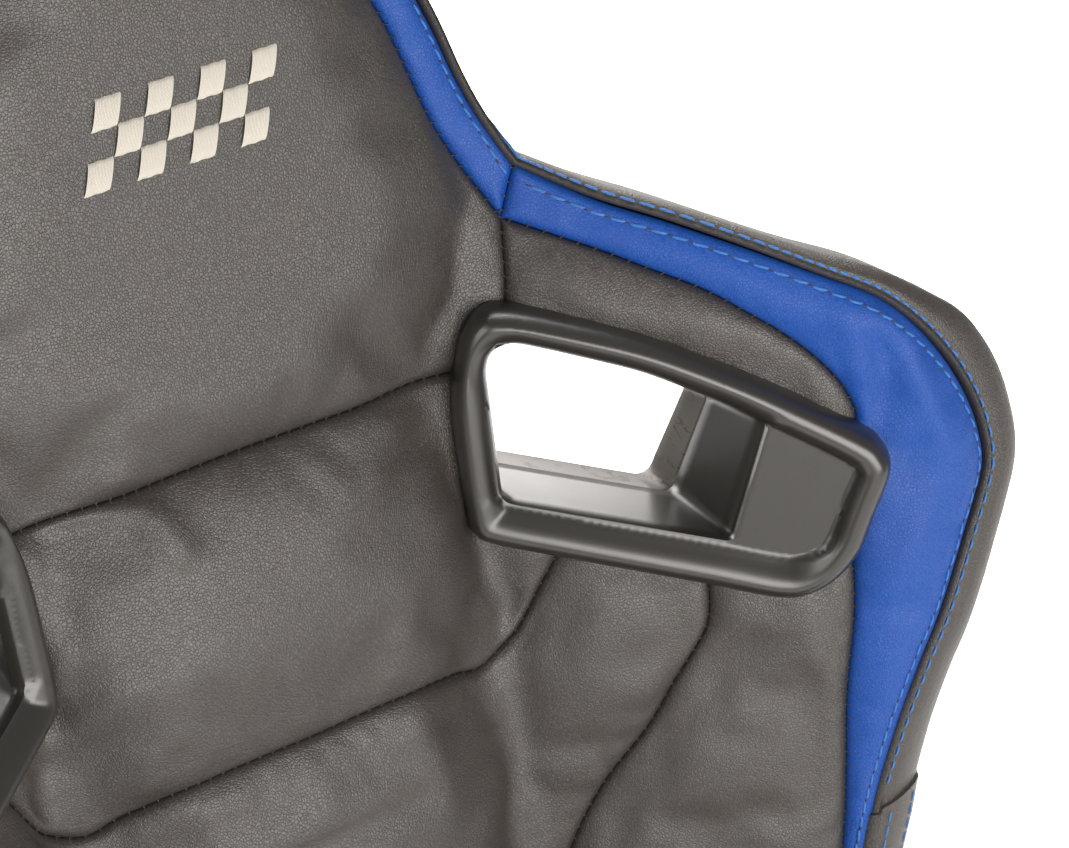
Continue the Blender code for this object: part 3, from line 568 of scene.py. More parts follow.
BLACK_LEATHER = leather("black_leather", (0.026, 0.022, 0.019), (0.052, 0.045, 0.039), 0.43, 0.72)
BLUE_LEATHER = leather("blue_leather", (0.006, 0.050, 0.27), (0.013, 0.084, 0.35), 0.46, 0.34)
GUIDE_PLASTIC = moulded_plastic("guide_plastic", (0.020, 0.018, 0.016), 0.30, specular=0.9)
SLEEVE_PLASTIC = moulded_plastic("sleeve_plastic", (0.105, 0.096, 0.086), 0.36, scuffs=0.85)
COVER_PLASTIC = moulded_plastic("cover_plastic", (0.024, 0.024, 0.025), 0.42)
BLUE_THREAD = thread("blue_thread", (0.018, 0.17, 0.55))
# painted shade: a dark blue thread colour for the shaded needle holes between the blue topstitches
NEEDLE_SHADE = thread("needle_shade", (0.006, 0.020, 0.085))
BLACK_THREAD = thread("black_thread", (0.012, 0.011, 0.011))
SILVER_THREAD = thread("silver_thread", (0.70, 0.66, 0.58), 0.36)
FRAME_PAINT = metal("frame_paint", (0.022, 0.022, 0.024), 0.42, 0.0, orange_peel=0.00012)
ZINC = metal("zinc_plate", (0.55, 0.55, 0.52), 0.32, 1.0, (60.0, 8.0, 60.0))
SPRING_STEEL = metal("spring_steel", (0.20, 0.20, 0.21), 0.38, 1.0)
NYLON = moulded_plastic("nylon", (0.60, 0.59, 0.55), 0.45)

# the record's material slot that each new material stands for
SLOT_LOOKS = {
    "black_leatherette": (BLACK_LEATHER, BLACK_THREAD, SILVER_THREAD),
    "blue_leatherette": (BLUE_LEATHER, BLUE_THREAD, NEEDLE_SHADE),
    "black_plastic": (GUIDE_PLASTIC, SLEEVE_PLASTIC),
    "frame_paint": (FRAME_PAINT,),
    "zinc_plate": (ZINC,),
}
SLOT_OF = {material.name: slot for slot, materials in SLOT_LOOKS.items() for material in materials}

# ---------------------------------------------------------------- outlines of the back
# (across, height from the harness guides' reference height), right half.
HEAD_EDGE = [(0.000, 0.246), (0.045, 0.243), (0.074, 0.232), (0.090, 0.210), (0.105, 0.168),
             (0.112, 0.143), (0.118, 0.126), (0.126, 0.108)]
WING_EDGE = [(0.126, 0.108), (0.146, 0.093), (0.165, 0.082), (0.184, 0.070), (0.203, 0.057),
             (0.2195, 0.0455), (0.2335, 0.0305), (0.245, 0.0135), (0.252, -0.001), (0.256, -0.0145),
             (0.257, -0.0295), (0.251, -0.0435), (0.244, -0.0565), (0.2305, -0.0835), (0.2202, -0.1025),
             (0.2096, -0.1265), (0.199, -0.1595), (0.191, -0.205), (0.194, -0.255), (0.206, -0.310),
             (0.214, -0.370), (0.211, -0.420), (0.198, -0.452), (0.184, -0.465)]
BOTTOM_CORNER = (0.120, -0.520)
BOTTOM = -0.528
SEAM_HEAD = [(-0.0925, 0.0395), (-0.060, 0.043), (0.000, 0.0445), (0.060, 0.043), (0.0925, 0.0395)]
SEAM_MID = [(0.000, -0.064), (0.045, -0.064), (0.068, -0.069), (0.082, -0.074), (0.094, -0.067),
            (0.100, -0.058), (0.106, -0.047), (0.1165, -0.0295)]
SEAM_LOWER = [(0.158, -0.046), (0.157, -0.054), (0.156, -0.066), (0.154, -0.074), (0.149, -0.083),
              (0.142, -0.094), (0.132, -0.111), (0.114, -0.135), (0.100, -0.165), (0.092, -0.205),
              (0.090, -0.300), (0.096, -0.400), (0.100, -0.5205)]
SEAM_NECK = [(0.1075, 0.055), (0.111, 0.066), (0.114, 0.076), (0.118, 0.091)]
HEAD_BAND = [(0.118, 0.091), (0.114, 0.101), (0.107, 0.116), (0.100, 0.133), (0.093, 0.157),
             (0.088, 0.173), (0.074, 0.206), (0.060, 0.2195)]
BAND_TOP = (0.060, 0.2388)
BAND_UPPER = [(0.118, 0.091), (0.141, 0.077), (0.154, 0.068), (0.168, 0.058), (0.178, 0.048),
              (0.192, 0.033), (0.200, 0.022), (0.205, 0.013), (0.208, 0.002), (0.205, -0.004)]
BAND_LOWER = [(0.2012, -0.0405), (0.2015, -0.058), (0.200, -0.077), (0.195, -0.108), (0.192, -0.139),
              (0.190, -0.158), (0.1875, -0.176)]
BAND_END = (0.1915, -0.1915)
GUIDE_EDGE = [(0.0865, 0.030), (0.0855, 0.008), (0.0855, -0.012), (0.087, -0.020), (0.092, -0.025),
              (0.112, -0.034), (0.134, -0.0435), (0.156, -0.053), (0.174, -0.061), (0.184, -0.0625),
              (0.194, -0.058), (0.2025, -0.048), (0.208, -0.035), (0.2145, -0.018), (0.213, -0.0085),
              (0.207, -0.0005), (0.190, 0.014), (0.173, 0.0275), (0.148, 0.0445), (0.1225, 0.057),
              (0.106, 0.0635), (0.099, 0.063), (0.093, 0.056), (0.0895, 0.045)]
# (across, height, corner radius) of the opening in the guide
GUIDE_MOUTH = [(0.0975, -0.0085, 0.0040), (0.1645, -0.036, 0.0022), (0.179, 0.0065, 0.0020),
               (0.1685, 0.0155, 0.0040), (0.1435, 0.033, 0.0080), (0.118, 0.0455, 0.0060),
               (0.107, 0.0505, 0.0050), (0.101, 0.048, 0.0035), (0.0985, 0.041, 0.0040)]
MOUTH_LEFT, MOUTH_FLOOR, FLOOR_FALL = 0.0975, -0.0085, 0.41  # the opening's lower edge
MOUTH_CEILING, CEILING_FALL = (0.105, 0.050), 0.588  # and its upper one
OUTER_WALL = 0.160  # the opening's corners beyond here are on its outer wall
TUNNEL = 0.050
WALL_LEAN, FLOOR_RISE, CORNER_GROWTH = 0.0025, 0.0085, 0.0042  # changes over the tunnel's depth
UNDER_RIM = 0.0055  # how far the leather runs in under the guides' rims

GRID = 0.0060
EDGE_STEP = 0.0030


def even(line, closed=False):
    return smooth_line(line, EDGE_STEP, closed)


def mouth_floor(across):
    return MOUTH_FLOOR - FLOOR_FALL * (across - MOUTH_LEFT)


def guide_mouth(depth, sign, spacing=0.0016):
    """The guide's opening at a depth behind its plane, always with the same number of points.

    Towards the rear its floor rises, its outer wall leans out a little and its corners grow rounder.
    """
    share = depth / TUNNEL
    across, height, radii = np.array(GUIDE_MOUTH).T
    ceiling = MOUTH_CEILING[1] - CEILING_FALL * (across - MOUTH_CEILING[0])
    low = np.clip((ceiling - height) / (ceiling - mouth_floor(across)), 0.0, 1.0)
    front = np.column_stack([across, height])
    shift = [WALL_LEAN * share * (across > OUTER_WALL), FLOOR_RISE * share * low]
    corners = front + np.column_stack(shift)
    radii = radii + CORNER_GROWTH * share * low
    starts, ends = [], []
    for before, here, after, radius in zip(np.roll(corners, 1, 0), corners, np.roll(corners, -1, 0), radii):
        back, ahead = before - here, after - here
        starts.append(here + back * min(radius / np.linalg.norm(back), 0.42))
        ends.append(here + ahead * min(radius / np.linalg.norm(ahead), 0.42))
    turn = np.linspace(0.0, 1.0, 6)[:, None]
    found = []
    for k, here in enumerate(corners):
        found.append((1 - turn) ** 2 * starts[k] + 2 * turn * (1 - turn) * here + turn ** 2 * ends[k])
        following = (k + 1) % len(corners)
        steps = int(np.linalg.norm(front[following] - front[k]) / spacing) + 2
        between = np.linspace(0.0, 1.0, steps)[1:-1, None]
        found.append(ends[k] + (starts[following] - ends[k]) * between)
    return anticlockwise(sided(np.vstack(found), sign))


def back_outlines():
    """Every sewn section's closed outline, and the seams between them."""
    head, wing_edge = even(HEAD_EDGE), even(WING_EDGE)
    seam_head, seam_mid, seam_lower = even(SEAM_HEAD), even(SEAM_MID), even(SEAM_LOWER)
    neck, head_band = even(SEAM_NECK), even(HEAD_BAND)
    upper, lower = even(BAND_UPPER), even(BAND_LOWER)
    hole = grown(even(GUIDE_EDGE, closed=True), -UNDER_RIM)
    head_split = head[np.abs(head[:, 0]) < BAND_TOP[0] - 0.002]
    band_split = head[head[:, 0] > BAND_TOP[0] + 0.002]
    wing_top = wing_edge[wing_edge[:, 1] > BAND_END[1] + 0.002]
    wing_low = wing_edge[wing_edge[:, 1] < BAND_END[1] - 0.002]

    def along_hole(start, end):
        """The guide hole's edge from near one point to near another, the shorter way."""
        loop = anticlockwise(hole)
        i = int(np.argmin(np.linalg.norm(loop - start, axis=1)))
        j = int(np.argmin(np.linalg.norm(loop - end, axis=1)))
        ahead = (j - i) % len(loop)
        behind = (i - j) % len(loop)
        if ahead <= behind:
            return loop[[(i + k) % len(loop) for k in range(ahead + 1)]]
        return loop[[(i - k) % len(loop) for k in range(behind + 1)]]

    seam_head_half = seam_head[seam_head[:, 0] >= -1e-9]
    outlines = {}
    outlines["head_pad"] = both_halves(joined(
        head_split, [BAND_TOP], head_band[::-1], neck[::-1],
        along_hole(neck[0], seam_head_half[-1])[1:-1], seam_head_half[::-1]))
    outlines["mid_back_pad"] = both_halves(joined(
        seam_head_half, along_hole(seam_head_half[-1], seam_mid[-1])[1:-1], seam_mid[::-1]))
    outlines["lumbar_pad"] = both_halves(joined(
        seam_mid, along_hole(seam_mid[-1], seam_lower[0])[1:-1], seam_lower, [(0.0, BOTTOM)]))
    for side, sign in SIDES:
        parts = {
            "head_band": joined([BAND_TOP], band_split, head[-1:], head_band),
            "shoulder_pad": joined(neck, upper[1:], along_hole(upper[-1], neck[0])[1:-1]),
            "wing_band": joined(upper, along_hole(upper[-1], lower[0])[1:-1], lower, [BAND_END],
                                wing_top[::-1]),
            "side_bolster": joined(seam_lower, [BOTTOM_CORNER], wing_edge[-1:], wing_low[::-1][1:],
                                   [BAND_END], lower[::-1],
                                   along_hole(lower[0], seam_lower[0])[1:-1]),
        }
        for name, outline in parts.items():
            outlines[f"{name}_{side}"] = sided(outline, sign)
    seams = {"head": seam_head, "mid": joined(mirrored(seam_mid)[:-1], seam_mid)}
    for side, sign in SIDES:
        for name, line in (("lower", seam_lower), ("neck", neck), ("head_band", head_band),
                           ("band_upper", upper), ("band_lower", lower)):
            seams[f"{name}_{side}"] = sided(line, sign)
        seams[f"notch_{side}"] = sided([SEAM_NECK[-1], HEAD_EDGE[-1]], sign)
    half = joined(head, wing_edge[1:], [BOTTOM_CORNER], [(0.0, BOTTOM)])
    edge = evenly_closed(both_halves(half), EDGE_STEP)
    holes = [sided(hole, sign) for _, sign in SIDES]
    return outlines, seams, edge, holes


# ---------------------------------------------------------------- soft shapes of the leather
# (points of the fold's line on the right half, its width, its height), on both sides
FOLDS = [
    ([(0.2085, 0.046), (0.2080, 0.034), (0.2090, 0.020)], 0.0048, 0.0024),
    ([(0.2035, 0.034), (0.2045, 0.020)], 0.0034, -0.0014),
    ([(0.2205, 0.028), (0.2190, 0.012), (0.2140, -0.004)], 0.0052, -0.0034),
    ([(0.2185, 0.041), (0.2240, 0.026), (0.2290, 0.010), (0.2345, -0.004), (0.2365, -0.016)], 0.0050, 0.0030),
    ([(0.2260, -0.034), (0.2180, -0.052), (0.2120, -0.068)], 0.0070, 0.0016),
    ([(0.2220, -0.016), (0.2230, -0.030), (0.2160, -0.044)], 0.0050, -0.0016),
    ([(0.085, -0.022), (0.090, -0.040), (0.097, -0.060)], 0.0075, -0.0030),
    ([(0.067, -0.006), (0.060, -0.028), (0.064, -0.052)], 0.0110, 0.0016),
]
LEFT_FOLDS = [
    ([(0.046, 0.043), (0.039, 0.034), (0.032, 0.020)], 0.0060, 0.0028),
    ([(0.074, 0.040), (0.058, 0.036), (0.047, 0.034)], 0.0075, -0.0030),
    ([(0.080, 0.034), (0.082, 0.019), (0.080, 0.002), (0.084, -0.016)], 0.0060, 0.0034),
    ([(0.092, -0.002), (0.0915, -0.014), (0.088, -0.022)], 0.0044, -0.0026),
    ([(0.094, -0.030), (0.088, -0.034)], 0.0060, 0.0030),
]


def soft_folds(flat):
    """Gentle folds where the leather gathers, as heights on the flat back."""
    on_right = np.column_stack([np.abs(flat[:, 0]), flat[:, 1]])

    def height_of(folds):
        gaps = [distance_to_open(on_right, smooth_line(points, 0.004)) for points, _, _ in folds]
        return sum(amount * np.exp(-(gap / width) ** 2) for gap, (_, width, amount) in zip(gaps, folds))

    return height_of(FOLDS) + np.where(flat[:, 0] > 0, 0.0, height_of(LEFT_FOLDS))


CLOTH_FRAMES = 20
CLOTH_STRENGTHS = {"quality": 6, "mass": 0.25, "tension_stiffness": 25.0, "compression_stiffness": 8.0,
                   "shear_stiffness": 8.0, "bending_stiffness": 0.6}
SMOOTHED_OVER = 7  # points of the cloth that one lift is averaged from


def settled(name, loops, lines, rest_of, normal_of, spacing, pressure, slack, limits):
    """Cloth simulation of a cover held along its edges and seams, and blown out from behind.

    Returns a function from flat positions to how far the cover moves along its own normal.
    """
    flat, triangles = flat_sheet([evenly_closed(loop, spacing) for loop in loops], (), spacing)
    gap = distance_to(flat, loops)
    for line in lines:
        gap = np.minimum(gap, distance_to_open(flat, line))
    rest = rest_of(flat)
    mesh = bpy.data.meshes.new(name)
    mesh.from_pydata(rest.tolist(), [], triangles.tolist())
    cloth = bpy.data.objects.new(name, mesh)
    SCENE.collection.objects.link(cloth)
    held = cloth.vertex_groups.new(name="held")
    fixed = gap < 0.6 * spacing
    held.add(np.flatnonzero(fixed).tolist(), 1.0, "REPLACE")
    settings = cloth.modifiers.new("cloth", "CLOTH").settings
    settings.vertex_group_mass = "held"
    for setting, value in CLOTH_STRENGTHS.items():
        setattr(settings, setting, value)
    settings.use_pressure = True
    settings.uniform_pressure_force = pressure
    settings.shrink_min = -slack
    settings.shrink_max = -slack
    settings.effector_weights.gravity = 0.0
    for number in range(CLOTH_FRAMES):
        SCENE.frame_set(number + 1)
    found = cloth.evaluated_get(bpy.context.evaluated_depsgraph_get()).to_mesh()
    moved = np.empty(len(rest) * 3, np.float32)
    found.vertices.foreach_get("co", moved)
    lift = ((moved.reshape(-1, 3) - rest) * normal_of(flat)).sum(1)
    bpy.data.objects.remove(cloth)
    SCENE.frame_set(1)
    lift = np.clip(lift, *limits)
    lift[fixed] = 0.0

    tree = KDTree(len(flat))
    for number, (x, y) in enumerate(flat):
        tree.insert((x, y, 0.0), number)
    tree.balance()

    def lift_at(wanted):
        total = np.empty(len(wanted))
        for number, (x, y) in enumerate(wanted):
            near = tree.find_n((x, y, 0.0), SMOOTHED_OVER)
            weight = np.exp([-(away / (0.62 * spacing)) ** 2 for _, _, away in near]) + 1e-12
            total[number] = np.dot(weight, lift[[index for _, index, _ in near]]) / weight.sum()
        return total

    return lift_at


ROLL = 0.0032  # radius of the leather's turn down into a seam
LEATHER_ANGLE = 60.0  # leather is shaded smooth up to this angle
BAND_FILL, PAD_FILL = 0.9, 0.75  # fill shares that front_leather hands to the back's band and pad panels
SEAM_RINGS = (0.00025, 0.0007, 0.0014, 0.0023, 0.0034, 0.0052)


VALLEY_DEPTH, VALLEY_WIDTH = 0.0020, 0.0105  # wide hollow along a seam
RIM_HOLLOW, RIM_HOLLOW_WIDTH = 0.0030, 0.008  # where a guide's rim presses the leather in
STITCH_DENT, STITCH_DENT_WIDTH = 0.0004, 0.0014
PLUMPNESS = 0.0012  # how far the leather stands out from the CAD face away from seams
CLOTH_PRESSURE = 5.0


def topstitch_inset(height):
    """How far in from the edge the bands' topstitch runs: closer along the head section."""
    return 0.0046 - 0.0016 * smooth_step((height - 0.104) / 0.020)


def rolled(distance, radius=ROLL):
    """Height lost near a seam, where the leather turns down into it."""
    near = np.clip(radius - distance, 0.0, radius)
    return np.sqrt(radius ** 2 - near ** 2) - radius


class Cover:
    """The front leather as one surface, with its seams, folds and stitched valleys."""

    def __init__(self, seams, edge, holes):
        self.edge = stretched(edge)
        self.seams = [stretched(line) for line in seams.values()]
        self.holes = [stretched(hole) for hole in holes]

        def rest_of(wide):
            flat = unstretched(wide)
            return np.column_stack([flat, face(*flat.T)])

        self.settle = settled("cover_cloth", [self.edge, *self.holes], self.seams, rest_of,
                              lambda wide: surface_normal(face, unstretched(wide)), GRID, CLOTH_PRESSURE,
                              0.018, (-0.004, 0.008))

    def lift(self, flat):
        """How far the leather stands along its normal from the CAD face."""
        wide = stretched(flat)
        edge_gap = distance_to(wide, [self.edge])
        seam_gap = np.min([distance_to_open(wide, line) for line in self.seams], axis=0)
        seam_gap = np.minimum(seam_gap, edge_gap)
        hole_gap = distance_to(wide, self.holes)
        lift = rolled(seam_gap) - VALLEY_DEPTH * np.exp(-seam_gap / VALLEY_WIDTH)
        lift -= RIM_HOLLOW * np.exp(-hole_gap / RIM_HOLLOW_WIDTH)
        dent = np.exp(-((edge_gap - topstitch_inset(flat[:, 1])) / STITCH_DENT_WIDTH) ** 2)
        on_band = (np.abs(flat[:, 0]) > BAND_TOP[0]) & (flat[:, 1] > -0.180)
        lift -= STITCH_DENT * dent * on_band
        free = smooth_step(seam_gap / 0.008)
        return lift + (soft_folds(flat) + self.settle(wide) + PLUMPNESS) * free

    def place(self, flat, extra=0.0):
        """Points of the leather, in the back's frame, `extra` metres above it."""
        flat = np.asarray(flat, float)
        normal = surface_normal(face, flat)
        base = np.column_stack([flat, face(*flat.T)])
        return base + normal * (self.lift(flat) + extra)[:, None]


def leather_panel(name, outline, cover, material, fill):
    """One sewn section: its leather face, its turned-in edges and its foam's rear side."""
    loop = evenly_closed(stretched(grown(outline, -0.00012)), EDGE_STEP)
    flat, triangles = flat_sheet([loop], SEAM_RINGS, 0.0046)
    real = unstretched(flat)
    front = cover.place(real)
    rear = np.column_stack([real, pad_rear(*real.T)])
    count = len(front)
    faces = [tuple(t) for t in triangles] + [tuple(t[::-1] + count) for t in triangles]
    faces += [(j, i, i + count, j + count) for i, j in open_edges(triangles)]
    made = add_mesh(f"leather_{name}", leant(np.vstack([front, rear])), faces, material, "backrest",
                    LEATHER_ANGLE)
    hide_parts(name)


# ---------------------------------------------------------------- stitches
STITCH_PITCH = 0.0060
STITCH_LENGTH = 0.0046
STITCH_R = 0.00048
STITCH_SINK = 0.0004  # depth of a stitch's ends in the leather
FRONT_SEWING = (0.0050, 0.0019, 0.00030)  # a plain seam's (pitch, thread length, thread radius)
OTHER_SEWING = (0.0046, 0.0022, 0.00026)
FRAME_OF = {"backrest": leant, "seat": as_is}  # from the frame a body is made in to the seat's
# painted shade: thin dark tubes of this length and radius stand for the shaded needle holes between stitches
HOLE_LENGTH, HOLE_R = 0.0019, 0.00034  # the dark gaps between stitches
THREAD_ANGLE = 70.0  # threads are shaded smooth up to this angle


def stitch_row(name, line, surface, length=STITCH_LENGTH, radius=STITCH_R, material=BLUE_THREAD,
               body="backrest", slant=0.10, start=0.5):
    """Separate stitches along a line on a surface; surface(flat, above) gives their places."""
    line = np.asarray(line, float)
    steps = lengths_along(line)
    share = np.array([-0.5, -0.42, -0.22, 0.0, 0.22, 0.42, 0.5])
    above = np.array([-STITCH_SINK, 0.0, radius * 0.75, radius * 0.9, radius * 0.75, 0.0, -STITCH_SINK])
    thickness = radius * np.array([0.7, 0.9, 1.0, 1.0, 1.0, 0.9, 0.7])
    flat = []
    for centre in np.arange(start * STITCH_PITCH, steps[-1] - 0.4 * length, STITCH_PITCH):
        path = places_at(centre + share * length, steps, line)
        along = path[-1] - path[0]
        along = along / max(np.linalg.norm(along), 1e-9)
        aside = np.array([-along[1], along[0]])
        flat.append(path + share[:, None] * length * slant * aside)
    points = surface(np.vstack(flat), np.tile(above, len(flat)))
    parts = [tube_mesh(FRAME_OF[body](path), thickness, 7) for path in np.split(points, len(flat))]
    add_mesh(name, *merged(parts), material, body, THREAD_ANGLE)


def cross_stitches(name, line, surface, sewing, body="backrest"):
    """Short threads that bridge a plain seam."""
    pitch, length, radius = sewing
    line = np.asarray(line, float)
    steps = lengths_along(line)
    share = np.linspace(-0.5, 0.5, 5)
    flat = []
    for centre in np.arange(0.5 * pitch, steps[-1], pitch):
        behind, here, ahead = places_at([centre - 0.001, centre, centre + 0.001], steps, line)
        along = (ahead - behind) / max(np.linalg.norm(ahead - behind), 1e-9)
        aside = np.array([-along[1], along[0]]) + 0.35 * along
        flat.append(here + share[:, None] * length * aside)
    parts = []
    for path in np.split(surface(np.vstack(flat), 0.0), len(flat)):
        path[2] += (0.5 * (path[1] + path[3]) - path[2]) * 0.6
        parts.append(tube_mesh(FRAME_OF[body](path), radius, 6))
    add_mesh(name, *merged(parts), BLACK_THREAD, body, THREAD_ANGLE)


def front_leather(cover, outlines, seams):
    for name, outline in outlines.items():
        material = BLUE_LEATHER if "band" in name else BLACK_LEATHER
        leather_panel(name, outline, cover, material, BAND_FILL if "band" in name else PAD_FILL)
    for name, line in seams.items():
        cross_stitches(f"seam_thread_{name}", line, cover.place, FRONT_SEWING)


def topstitches(cover, boxing, outlines, edge):
    """Light blue rows along the bands' outer edge and along the boxing beside it."""
    edge = anticlockwise(edge)
    inner = unstretched(grown(stretched(edge), -topstitch_inset(edge[:, 1:2])))
    for side, sign in SIDES:
        for kind in ("head_band", "wing_band"):
            row = even_line(longest_run(inner, inside(inner, outlines[f"{kind}_{side}"])), 0.003)
            stitch_row(f"topstitch_{kind}_{side}", row, cover.place)
            # painted shade: dark tubes between the stitches stand for the shaded needle holes
            stitch_row(f"needle_hole_shade_{kind}_{side}", row, cover.place, HOLE_LENGTH, HOLE_R, NEEDLE_SHADE,
                       start=1.0)
        beside = (np.sign(boxing.edge[:, 0]) == sign) & (boxing.edge[:, 1] > BOXING_SPLIT)
        beside &= boxing.edge[:, 1] < BAND_TOP[1] - 0.004
        row = longest_run(boxing.line(STITCH_OUT), beside)
        stitch_row(f"topstitch_boxing_{side}", row, boxing.place, slant=0.03)


def longest_run(points, wanted):
    """The points of the longest run of wanted ones on a closed line."""
    start = int(np.argmin(wanted))
    points, wanted = np.roll(points, -start, 0), np.roll(wanted, -start)
    best, first = (0, 0), None
    for i, flag in enumerate([*wanted, False]):
        if flag and first is None:
            first = i
        if not flag and first is not None:
            best = max(best, (i - first, first))
            first = None
    return points[best[1]:best[1] + best[0]]


# ---------------------------------------------------------------- boxing round the back's edge
BOXING_SPLIT = -0.150  # below here another panel of the boxing overlaps the upper one
# (height on the back, how far the boxing stands out beyond the front's edge seam)
BOXING_OUT = [(-0.528, 0.0056), (-0.500, 0.0090), (-0.465, 0.0154), (-0.310, 0.0160), (-0.260, 0.0190),
              (-0.205, 0.0230), (-0.160, 0.0260), (-0.145, 0.0244), (-0.126, 0.0228), (-0.100, 0.0220),
              (-0.056, 0.0220), (-0.030, 0.0212), (-0.014, 0.0210), (0.000, 0.0214), (0.018, 0.0198),
              (0.030, 0.0146), (0.045, 0.0104), (0.057, 0.0080), (0.068, 0.0068), (0.093, 0.0064),
              (0.108, 0.0058), (0.120, 0.0038), (0.246, 0.0034)]
BEAD_SHARE, BEAD_WIDTH = 0.20, 0.0031  # the bead beside the seam is equally wide all the way
# (share of the way out, depth behind the face) of the boxing's front
BOXING_FRONT = [(0.02, 0.0050), (0.03, 0.0022), (0.06, 0.0006), (0.11, 0.0000), (0.16, 0.0006),
                (0.20, 0.0013), (0.26, 0.0012), (0.36, 0.0008), (0.50, 0.0012), (0.66, 0.0024),
                (0.80, 0.0041), (0.91, 0.0062), (0.97, 0.0092)]
# (share of the way out, share of the depth from the front's last row to the rear)
BOXING_REAR = [(1.00, 0.50), (0.99, 0.75), (0.94, 0.88), (0.84, 0.955), (0.66, 0.99), (0.40, 1.0),
               (0.10, 1.0), (-0.50, 0.995)]
STITCH_OUT = 0.0036  # how far out the boxing's stitches run
REAR_TURN = 0.0077  # how far in behind the edge the boxing runs


def pucker_share(out):
    """The gathers grow from nothing over the middle of the way out."""
    return smooth_step((out - 0.3) / 0.3)


class Boxing:
    """The strip that turns from the front's edge seam round to the rear."""

    def __init__(self, edge):
        self.edge = anticlockwise(edge)
        self.normal = outward_normals(self.edge)
        for _ in range(6):
            self.normal = unit(self.normal + np.roll(self.normal, 1, 0) + np.roll(self.normal, -1, 0))
        self.front = face(*self.edge.T) - 0.0004
        self.rear = cover_rear(*self.edge.T)
        self.out = soft_table(self.edge[:, 1], *np.array(BOXING_OUT).T, width=0.006)
        self.length = lengths_along(self.edge)

    def front_reach(self, share, out):
        """Distance from the seam at a share of the way out."""
        beyond = BEAD_WIDTH + (out - BEAD_WIDTH) * (share - BEAD_SHARE) / (1.0 - BEAD_SHARE)
        return np.where(share < BEAD_SHARE, share / BEAD_SHARE * BEAD_WIDTH, beyond)

    def rear_reach(self, share):
        """From the boxing's full width at 1 to REAR_TURN inside the edge at the last rear row."""
        return self.out - (1.0 - share) / (1.0 - BOXING_REAR[-1][0]) * (self.out + REAR_TURN)

    def row(self, reach, depth):
        """One row of the strip at a distance from the seam and a depth behind the face."""
        return np.column_stack([self.edge + self.normal * reach[:, None], self.front - depth])

    def rows(self):
        pucker = self.pucker()
        rows = [self.row(self.front_reach(out, self.out), depth + pucker * pucker_share(out))
                for out, depth in BOXING_FRONT]
        total = self.front - self.rear
        start = BOXING_FRONT[-1][1]
        for out, share in BOXING_REAR:
            swell = 1.0 + 0.10 * np.sin(np.pi * np.clip(share, 0, 1)) if share < 0.9 else 1.0
            rows.append(self.row(self.rear_reach(out) * swell, start + (total - start) * share))
        return rows

    def pucker(self):
        """Gathers where the strip turns the inside corner at the neck, and faint ones elsewhere."""
        across, height = np.abs(self.edge[:, 0]), self.edge[:, 1]
        near = np.exp(-(((across - 0.125) ** 2 + (height - 0.110) ** 2) / 0.011 ** 2))
        gather = 0.0011 * near * np.sin(self.length / 0.0042 * 2 * np.pi)
        return gather + 0.0002 * np.sin(self.length / 0.037) * np.sin(self.length / 0.0113)

    def build(self):
        points, faces = lofted([leant(row) for row in self.rows()])
        add_mesh("leather_boxing", points, [f[::-1] for f in faces], BLACK_LEATHER, "backrest", LEATHER_ANGLE)

    def line(self, out):
        """A line `out` metres from the seam, as (length, share of the way out)."""
        beyond = BEAD_SHARE + (1.0 - BEAD_SHARE) * (out - BEAD_WIDTH) / (self.out - BEAD_WIDTH)
        return np.column_stack([self.length, np.minimum(beyond, 0.88)])

    def place(self, flat, above=0.0):
        """Points at (length, out) on the strip's front."""
        loop = self.length[-1] + np.linalg.norm(self.edge[0] - self.edge[-1])
        knots = np.append(self.length, loop)
        where = flat[:, 0] % loop

        def along(values):
            return np.interp(where, knots, np.append(values, values[0]))

        outs, depths = np.array(BOXING_FRONT).T
        edge = np.column_stack([along(values) for values in self.edge.T])
        normal = np.column_stack([along(values) for values in self.normal.T])
        depth = np.interp(flat[:, 1], outs, depths) + along(self.pucker()) * pucker_share(flat[:, 1])
        place = edge + normal * self.front_reach(flat[:, 1], along(self.out))[:, None]
        return np.column_stack([place, along(self.front) - depth + above])


OVERLAP = 0.0012  # thickness of the lower panel's lap over the upper one
LAP_ROWS = (0.40, 0.82)  # shares of the way out where the lap is stitched


